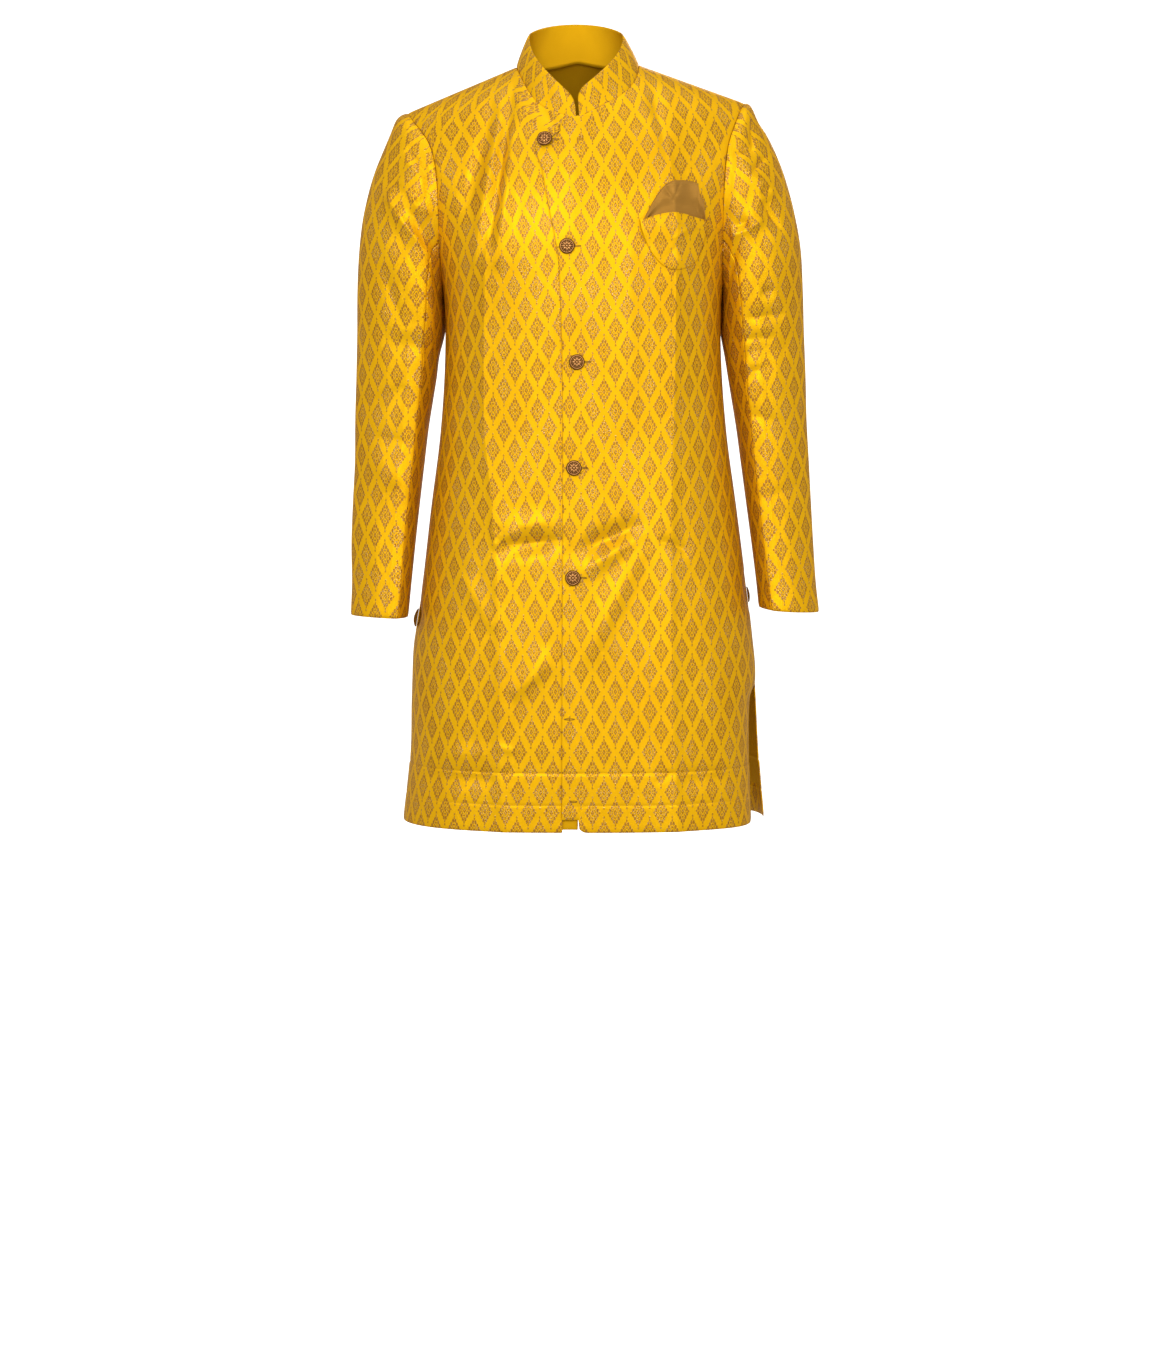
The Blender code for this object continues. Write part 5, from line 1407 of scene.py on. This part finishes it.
class Finish:
    """A material: a Principled surface and the nodes that feed it."""

    def __init__(self, name, **constants):
        self.material = bpy.data.materials.new(name)
        self.material.use_nodes = True
        self.tree = self.material.node_tree
        self.surface = self.tree.nodes["Principled BSDF"]
        for socket, value in constants.items():
            self.surface.inputs[socket.replace("_", " ")].default_value = value

    def feed(self, socket, value):
        if isinstance(value, Value):
            value = value.socket
        if isinstance(value, bpy.types.NodeSocket):
            self.tree.links.new(value, socket)
        else:
            socket.default_value = value

    def node(self, kind, settings=None, sockets=None):
        made = self.tree.nodes.new(kind)
        for setting, value in (settings or {}).items():
            if setting == "stops":
                ramp = made.color_ramp.elements
                while len(ramp) < len(value):
                    ramp.new(0.5)
                for element, (position, colour) in zip(ramp, value):
                    element.position = position
                    element.color = (*colour, 1.0)
            else:
                setattr(made, setting, value)
        for socket, value in (sockets or {}).items():
            self.feed(made.inputs[socket], value)
        return made

    def cloth_place(self):
        """Across and up in the cloth, in metres."""
        uv = self.node("ShaderNodeUVMap", {"uv_map": "cloth"})
        parts = self.node("ShaderNodeSeparateXYZ", {}, {"Vector": uv.outputs["UV"]})
        return Value(self, parts.outputs["X"]), Value(self, parts.outputs["Y"])

    def drive(self, **sockets):
        """Feed varying values into the surface."""
        for socket, value in sockets.items():
            self.feed(self.surface.inputs[socket.replace("_", " ")], value)

    def noise(self, vector, scale, detail=2.0, roughness=0.5):
        made = self.node("ShaderNodeTexNoise", {},
                         {"Vector": vector, "Scale": scale, "Detail": detail, "Roughness": roughness})
        return Value(self, made.outputs["Fac"])

    def cloth_noise(self, place, grain):
        u, v = place
        made = self.node("ShaderNodeCombineXYZ", {},
                         {"X": u * grain.across, "Y": v * grain.up, "Z": grain.seed})
        return self.noise(made.outputs["Vector"], 1.0, grain.detail, grain.roughness)

    def object_noise(self, scale, detail):
        place = self.node("ShaderNodeTexCoord")
        return self.noise(place.outputs["Object"], scale, detail)

    def blend(self, factor, first, second):
        made = self.node("ShaderNodeMix", {"data_type": "RGBA"}, {"Factor": factor})
        for socket, colour in ((made.inputs[6], first), (made.inputs[7], second)):
            if isinstance(colour, tuple):
                colour = (*colour, 1.0)
            self.feed(socket, colour)
        return made.outputs[2]

    def raise_surface(self, height, distance):
        bump = self.node("ShaderNodeBump", {}, {"Height": height, "Distance": distance})
        self.drive(Normal=bump.outputs["Normal"])


def make_brocade():
    finish = Finish("yellow_brocade", Specular_IOR_Level=0.10, Coat_Roughness=0.28,
                    Specular_Tint=(0.50, 0.28, 0.05, 1.0))
    place = u, v = finish.cloth_place()
    a = u / REPEAT_ACROSS
    b = v / REPEAT_UP
    p = a + b
    q = a - b
    fp = p - p.rounded()
    fq = q - q.rounded()
    ap = abs(fp)
    aq = abs(fq)
    side_on = ap.above(aq)
    level = ap.larger(aq) * 2.0
    run = fq * side_on + fp * (1.0 - side_on)
    lb = (fp - fq) * 0.5
    # Scalloped outline: blobs along each side, joined below their tops
    scallop = (run * (2 * math.pi * SCALLOPS)).cosine()
    outer_line = (level - scallop * 0.030).fade(*OUTLINE_OUTSIDE)
    inner_line = (level + scallop * 0.034).fade(*OUTLINE_INSIDE)
    outline = outer_line * inner_line * (0.35 + scallop.fade(-0.97, -0.50) * 0.65)
    # Inner ring of small beads, and a flower in the middle
    beads = (run * (2 * math.pi * BEADS)).cosine()
    ring = level.fade(*BEADS_OUTSIDE) * level.fade(*BEADS_INSIDE) * (0.40 + beads.fade(-0.4, 0.3) * 0.60)
    flower = level.fade(*FLOWER_OUTSIDE) * level.fade(*FLOWER_INSIDE)
    # A small bud past each end
    tip_a = (fp + fq) * 0.5 * REPEAT_ACROSS
    tip_b = (abs(lb) - TIP_PLACE) * REPEAT_UP
    bud = (tip_a * tip_a + tip_b * tip_b * 0.5).maths("SQRT").fade(*BUD_EDGE) * 0.85
    motif = outline.larger(ring).larger(flower).larger(bud)
    # Threads: the motif is floats of metal yarn, broken by fine binding points
    threads = motif * (0.66 + finish.cloth_noise(place, YARN).fade(0.36, 0.56) * 0.34)
    # The yarn's own brown with a painted glint: scattered specks, more of them in random larger patches,
    # take a whitish highlight colour
    glint = finish.cloth_noise(place, GLINT).fade(0.52, 0.68)
    patch = finish.cloth_noise(place, PATCH).fade(0.42, 0.62)
    tone = finish.cloth_noise(place, TONE)
    ground = finish.blend(tone, GROUND_DARK, GROUND_LIGHT)
    yarn_and_glint = finish.blend(glint * (0.30 + patch * 0.50), MOTIF_COLOUR, MOTIF_GLINT)
    finish.drive(Base_Color=finish.blend(threads, ground, yarn_and_glint), Metallic=0.40 + threads * 0.20,
                 Roughness=0.38 + tone * 0.06 - threads * 0.06, Coat_Weight=threads * 0.20)
    crinkle = finish.cloth_noise(place, CRINKLE)
    slack = finish.cloth_noise(place, SLACK)
    rib = (v * (2 * math.pi / THREAD_PITCH)).cosine()
    finish.raise_surface(threads * 0.5 + crinkle * 1.5 + slack * 3.0 + rib * 0.05, 0.00035)
    return finish.material


def make_satin(name, dark, light, metallic=0.25, roughness=0.34):
    finish = Finish(name, Specular_IOR_Level=0.25, Metallic=metallic, Specular_Tint=(*light, 1.0))
    place = finish.cloth_place()
    tone = finish.cloth_noise(place, SATIN_TONE)
    slub = finish.cloth_noise(place, SATIN_SLUB)
    finish.drive(Base_Color=finish.blend(tone * 0.7 + slub * 0.3, dark, light),
                 Roughness=roughness + slub * 0.10)
    finish.raise_surface(slub * 0.3 + tone, 0.0002)
    return finish.material


def make_button_metal():
    finish = Finish("antique_copper", Specular_IOR_Level=0.3, Specular_Tint=(0.9, 0.55, 0.3, 1.0))
    carved = finish.node("ShaderNodeAttribute", {"attribute_name": "carving"})
    tarnish = finish.object_noise(900.0, 3.0)
    worn = Value(finish, carved.outputs["Fac"]).fade(0.15, 0.75) * (0.7 + tarnish * 0.5)
    finish.drive(Base_Color=finish.blend(worn, COPPER_DARK, COPPER_BRIGHT),
                 Metallic=0.55 + worn * 0.4, Roughness=0.55 - worn * 0.2)
    finish.raise_surface(tarnish, 0.0001)
    return finish.material


def make_thread(name, dark, light):
    finish = Finish(name, Roughness=0.55, Specular_IOR_Level=0.3)
    twist = finish.object_noise(1600.0, 1.0)
    finish.drive(Base_Color=finish.blend(twist, dark, light))
    finish.raise_surface(twist, 0.0001)
    return finish.material


def make_plain(name, colour, roughness, glow):
    finish = Finish(name, Roughness=roughness, Emission_Strength=glow, Emission_Color=(*colour, 1.0))
    darker = tuple(part * 0.985 for part in colour)
    finish.drive(Base_Color=finish.blend(finish.object_noise(3.0, 2.0), darker, colour))
    return finish.material


# Stitches and corded edges
def stitch_tree():
    """Nodes that lay a run of small stitches along a path."""
    tree = bpy.data.node_groups.new("run_of_stitches", "GeometryNodeTree")
    sockets = tree.interface
    for name, kind in (("Path", "Geometry"), ("Pitch", "Float"), ("Stitch length", "Float"),
                       ("Thread radius", "Float"), ("Unevenness", "Float"), ("Thread", "Material")):
        sockets.new_socket(name, in_out="INPUT", socket_type="NodeSocket" + kind)
    sockets.new_socket("Stitches", in_out="OUTPUT", socket_type="NodeSocketGeometry")

    def node(kind, settings=None, links=None):
        made = tree.nodes.new(kind)
        for setting, value in (settings or {}).items():
            setattr(made, setting, value)
        for socket, value in (links or {}).items():
            if isinstance(value, bpy.types.NodeSocket):
                tree.links.new(value, made.inputs[socket])
            else:
                made.inputs[socket].default_value = value
        return made.outputs

    given = node("NodeGroupInput")
    curve = node("GeometryNodeMeshToCurve", None, {"Mesh": given["Path"]})
    points = node("GeometryNodeResampleCurve", {"mode": "LENGTH"},
                  {"Curve": curve["Curve"], "Length": given["Pitch"]})
    ball = node("GeometryNodeMeshUVSphere", None, {"Segments": 6, "Rings": 4, "Radius": 1.0})
    tangent = node("GeometryNodeInputTangent")
    turn = node("FunctionNodeAlignRotationToVector", {"axis": "Z"},
                {"Vector": tangent["Tangent"]})
    least = node("ShaderNodeMath", {"operation": "SUBTRACT"}, {0: 1.0, 1: given["Unevenness"]})
    chance = node("FunctionNodeRandomValue", {"data_type": "FLOAT"},
                  {2: least[0], 3: 1.0, "Seed": STITCH_SEED})
    half = node("ShaderNodeMath", {"operation": "MULTIPLY"}, {0: given["Stitch length"], 1: 0.5})
    long = node("ShaderNodeMath", {"operation": "MULTIPLY"}, {0: half[0], 1: chance[1]})
    size = node("ShaderNodeCombineXYZ", None,
                {"X": given["Thread radius"], "Y": given["Thread radius"], "Z": long[0]})
    laid = node("GeometryNodeInstanceOnPoints", None,
                {"Points": points["Curve"], "Instance": ball["Mesh"],
                 "Rotation": turn["Rotation"], "Scale": size["Vector"]})
    real = node("GeometryNodeRealizeInstances", None, {"Geometry": laid["Instances"]})
    dyed = node("GeometryNodeSetMaterial", None,
                {"Geometry": real["Geometry"], "Material": given["Thread"]})
    node("NodeGroupOutput", None, {"Stitches": dyed["Geometry"]})
    return tree


def sew(name, paths, yarn, pitch, length, radius):
    """One mesh of stitches along several paths of points."""
    mesh = bpy.data.meshes.new(name + "_paths")
    starts = np.cumsum([0] + [len(path) for path in paths])
    edges = [(start + i, start + i + 1) for start, path in zip(starts, paths) for i in range(len(path) - 1)]
    mesh.from_pydata(np.vstack(paths).tolist(), edges, [])
    made = add_object(name, mesh)
    run = made.modifiers.new("stitches", "NODES")
    run.node_group = STITCHES
    values = {"Pitch": pitch, "Stitch length": length, "Thread radius": radius,
              "Unevenness": 0.2, "Thread": yarn}
    for socket in STITCHES.interface.items_tree:
        if socket.in_out == "INPUT" and socket.name in values:
            run[socket.identifier] = values[socket.name]
    found = made.evaluated_get(bpy.context.evaluated_depsgraph_get())
    plain = bpy.data.meshes.new_from_object(found)
    made.modifiers.remove(run)
    made.data = plain
    return made


def on_front(x, z, overlapping=True):
    """A path just over the cloth of a front."""
    x = np.asarray(x, float)
    z = np.asarray(z, float)
    lift = THREAD_LIFT + (overlap_lift(x, z) if overlapping else 0.0)
    return front_point(x, z, lift)


def hem_stitches():
    paths = []
    for side in SIDES:
        overlapping = side is IMAGE_RIGHT
        z = np.array(HEM_STITCH_Z)
        end = float(outer_x(z, side, False) - side.sign * (drawn_in(z, side, False) + STITCH_INSET))
        start = float(front_edge_x(z, overlapping)) + side.sign * STITCH_INSET
        x = np.linspace(start, end, HEM_STEPS)
        paths.append(on_front(x, np.full(x.shape, HEM_STITCH_Z), overlapping))
    ends = [float(outer_x(z, side, True) - side.sign * (drawn_in(z, side, True) + STITCH_INSET))
            for side in SIDES]
    x = np.linspace(ends[0], ends[1], 2 * HEM_STEPS)
    paths.append(back_point(x, np.full(x.shape, HEM_STITCH_Z), THREAD_LIFT))
    return sew("hem_stitches", paths, thread, STITCH_PITCH, STITCH_LENGTH, STITCH_RADIUS)


def pocket_stitches():
    """The patch is sewn down along its sides and bottom, and its mouth is turned and stitched."""
    z = np.linspace(POCKET[0].z - 0.002, POCKET[-1].z + 0.0022, POCKET_STEPS)
    left = np.stack((spline(POCKET, "left", z) + STITCH_INSET, z), axis=1)
    right = np.stack((spline(POCKET, "right", z) - STITCH_INSET, z), axis=1)
    outline = np.vstack((left, right[::-1]))
    across = np.linspace(*MOUTH_ENDS, POCKET_STEPS)
    mouth_z = POCKET[0].z + mouth_rise(across) - MOUTH_HEM
    paths = []
    for x, z in (outline.T, (pocket_x(across, mouth_z), mouth_z)):
        share = np.clip((POCKET[0].z - z) / (POCKET[0].z - POCKET[-1].z), 0.0, 1.0)
        lift = pocket_lift(share) + POCKET_WALL + THREAD_LIFT + overlap_lift(x, z)
        paths.append(front_point(x, z, lift))
    return sew("pocket_stitches", paths, thread, STITCH_PITCH, STITCH_LENGTH, STITCH_RADIUS)


def buttonhole_cords():
    """A worked buttonhole shows beside each button; two more lower down are empty."""
    paths = []
    turn = np.linspace(0, 2 * math.pi, CORD_STEPS)
    holes = [(spot.x + HOLE_START, spot.x + HOLE_END, spot.z) for spot in BUTTONS]
    for start, end, z in holes + list(EMPTY_BUTTONHOLES):
        x = (start + end) / 2 + (end - start) / 2 * np.cos(turn)
        paths.append(on_front(x, z + HOLE_HALF_WIDTH * np.sin(turn)))
    place = np.linspace(0, 1, LOOP_STEPS)
    paths.append(on_front(*[np.interp(place, (0, 0.5, 1), values) for values in zip(*NECK_LOOP)]))
    return sew("buttonhole_cords", paths, cord_thread, CORD_PITCH, CORD_LENGTH, CORD_RADIUS)


brocade = make_brocade()
satin = make_satin("brown_gold_satin", SATIN_DARK, SATIN_LIGHT)
# The side pockets' satin is a darker, duller copy of the brown-gold satin: painted shade in their mouths
shaded_pocket_satin = make_satin("shaded_satin", SHADED_DARK, SATIN_DARK, 0.0, 0.65)
lining = make_satin("gold_lining", LINING_DARK, LINING_LIGHT, 0.15, 0.45)
button_metal = make_button_metal()
thread = make_thread("gold_thread", THREAD_DARK, THREAD_LIGHT)
cord_thread = make_thread("brown_cord", CORD_DARK, CORD_LIGHT)
STITCHES = stitch_tree()

SHOULDER_Z = {side.name: shoulder_end(side) for side in SIDES}

left_grid = front_grid(IMAGE_RIGHT)
right_grid = front_grid(IMAGE_LEFT)
whole_back = back_grid()
top_edges = {"left": left_grid[0], "right": right_grid[0][np.argsort(right_grid[0][:, 0])],
             "back": whole_back[0]}

left_front = body_panel("left_front", left_grid, FRONT_PATTERN_X, EDGE_ROLL)
right_front = body_panel("right_front", right_grid, FRONT_PATTERN_X, EDGE_ROLL)
back = body_panel("back_panel", whole_back, NECK_X)
right_sleeve = build_sleeve(IMAGE_LEFT, RIGHT_SLEEVE, RIGHT_WRINKLES, RIGHT_SLEEVE_CREASES)
left_sleeve = build_sleeve(IMAGE_RIGHT, LEFT_SLEEVE, LEFT_WRINKLES, LEFT_SLEEVE_CREASES)
collar = build_collar(top_edges)
pocket = build_chest_pocket()
square = build_pocket_square()
front_facing = build_front_facing()
crescents = [build_side_facing(facing) for facing in SIDE_FACINGS]
buttons = [build_button(number, spot) for number, spot in enumerate(BUTTONS, 1)]
threads_laid = (hem_stitches(), pocket_stitches(), buttonhole_cords())

# What stands for which solid, its finish, and the cut of each sheet
Piece = namedtuple("Piece", "made node slot width length area")
PIECES = (
    Piece(left_front, "front_left", "brocade", 0.36, 1.04, 0.28),
    Piece(right_front, "front_right", "brocade", 0.30, 1.04, 0.237),
    Piece(back, "back", "brocade", 0.58, 1.04, 0.495),
    Piece(right_sleeve[0], "sleeve_top_right", "brocade", 0.30, 0.66, 0.15),
    Piece(right_sleeve[1], "sleeve_under_right", "brocade", 0.14, 0.50, 0.055),
    Piece(left_sleeve[0], "sleeve_top_left", "brocade", 0.30, 0.66, 0.15),
    Piece(left_sleeve[1], "sleeve_under_left", "brocade", 0.14, 0.50, 0.055),
    Piece(collar, "collar", "brocade", 0.44, 0.05, 0.020),
    Piece(pocket, "chest_pocket", "brocade", 0.088, 0.068, 0.0052),
    Piece(square, "pocket_square", "satin", 0.080, 0.050, 0.0030),
    Piece(front_facing, "front_facing", "satin", 0.030, 0.90, 0.016),
    Piece(crescents[0], "side_facing_right", "satin", 0.010, 0.026, 0.00011),
    Piece(crescents[1], "side_facing_left", "satin", 0.010, 0.022, 0.00007),
)
for piece in PIECES:
    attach(piece.made, "root")
    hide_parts(piece.node)
for run in threads_laid:
    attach(run, "root")
for number, button in enumerate(buttons, 1):
    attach(button, "root")
    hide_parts("button_%d" % number)


# Floor, backdrop, light and camera
def sweep():
    """A pale floor that curves up into a round backdrop, far outside the camera's circle."""
    bend = np.linspace(0.0, math.pi / 2, 12)
    curve = FLOOR_RADIUS + SWEEP_BEND * np.sin(bend)
    radius = np.concatenate((SWEEP_MIDDLE, curve, curve[-1:]))
    rise = np.concatenate((np.zeros(2), SWEEP_BEND * (1 - np.cos(bend)), [SWEEP_HEIGHT]))
    turn = np.linspace(0.0, 2 * math.pi, SWEEP_SIDES, endpoint=False)
    points = [(r * math.cos(a), r * math.sin(a), FLOOR_Z + z) for r, z in zip(radius, rise) for a in turn]
    faces = ring_faces(len(radius), SWEEP_SIDES)
    faces.append(tuple(range(SWEEP_SIDES)))
    mesh = bpy.data.meshes.new("pale_sweep")
    mesh.from_pydata(points, [], faces)
    mesh.shade_smooth()
    mesh.materials.append(make_plain("pale_paper", (0.95, 0.95, 0.95), 0.8, PAPER_GLOW))
    made = add_object("pale_sweep", mesh)
    # The paper glows for the camera alone, so it neither lights the cloth nor shades it
    made.visible_diffuse = False
    made.visible_glossy = False
    made.visible_shadow = False
    return made


def soft_light(name, place, aim, size, power, colour=(1.0, 1.0, 1.0)):
    light = bpy.data.lights.new(name, "AREA")
    light.shape = "RECTANGLE"
    light.size, light.size_y = size
    light.energy = power
    light.color = colour
    made = add_object(name, light)
    made.visible_camera = False
    made.location = place
    made.rotation_euler = (Vector(aim) - Vector(place)).to_track_quat("-Z", "Y").to_euler()


FLOOR_Z = -1.573
FLOOR_RADIUS = 7.0
SWEEP_BEND = 2.0
SWEEP_HEIGHT = 9.0
SWEEP_SIDES = 72
SWEEP_MIDDLE = (0.02, 3.0)
PAPER_GLOW = 0.95
sweep()
soft_light("key", (-0.9, -4.0, 1.1), (0.0, 0.0, -0.45), (0.9, 1.2), 54)
soft_light("fill", (1.2, -4.0, 0.6), (0.0, 0.0, -0.5), (1.0, 1.6), 37, (1.0, 0.96, 0.88))
soft_light("top", (0.0, -0.6, 2.4), (0.0, 0.0, -0.3), (2.4, 1.6), 20)
soft_light("side_left", (-3.2, -2.6, 0.5), (-0.25, 0.0, -0.35), (0.8, 1.6), 20)
soft_light("side_right", (3.2, -2.6, 0.5), (0.25, 0.0, -0.35), (0.8, 1.6), 20)
soft_light("back", (0.8, 4.2, 1.0), (0.0, 0.0, -0.45), (1.4, 1.8), 42)

WORLD_COLOUR = (1.0, 0.94, 0.84)
WORLD_STRENGTH = 0.56
world = bpy.data.worlds.new("studio")
bpy.context.scene.world = world
world.use_nodes = True
world.node_tree.nodes["Background"].inputs["Color"].default_value = (*WORLD_COLOUR, 1.0)
world.node_tree.nodes["Background"].inputs["Strength"].default_value = WORLD_STRENGTH
bpy.context.scene.view_settings.view_transform = "Standard"

CAMERA_DISTANCE = 4.7
CAMERA_Z = -0.338
CAMERA_PITCH = 5.36
CAMERA_LENS = 97.32
lens = bpy.data.cameras.new("camera")
lens.sensor_width = 36.0
lens.lens = CAMERA_LENS
camera = add_object("camera", lens)
camera.location = (0.0, -CAMERA_DISTANCE, CAMERA_Z)
camera.rotation_euler = (math.radians(90 - CAMERA_PITCH), 0.0, 0.0)
bpy.context.scene.camera = camera
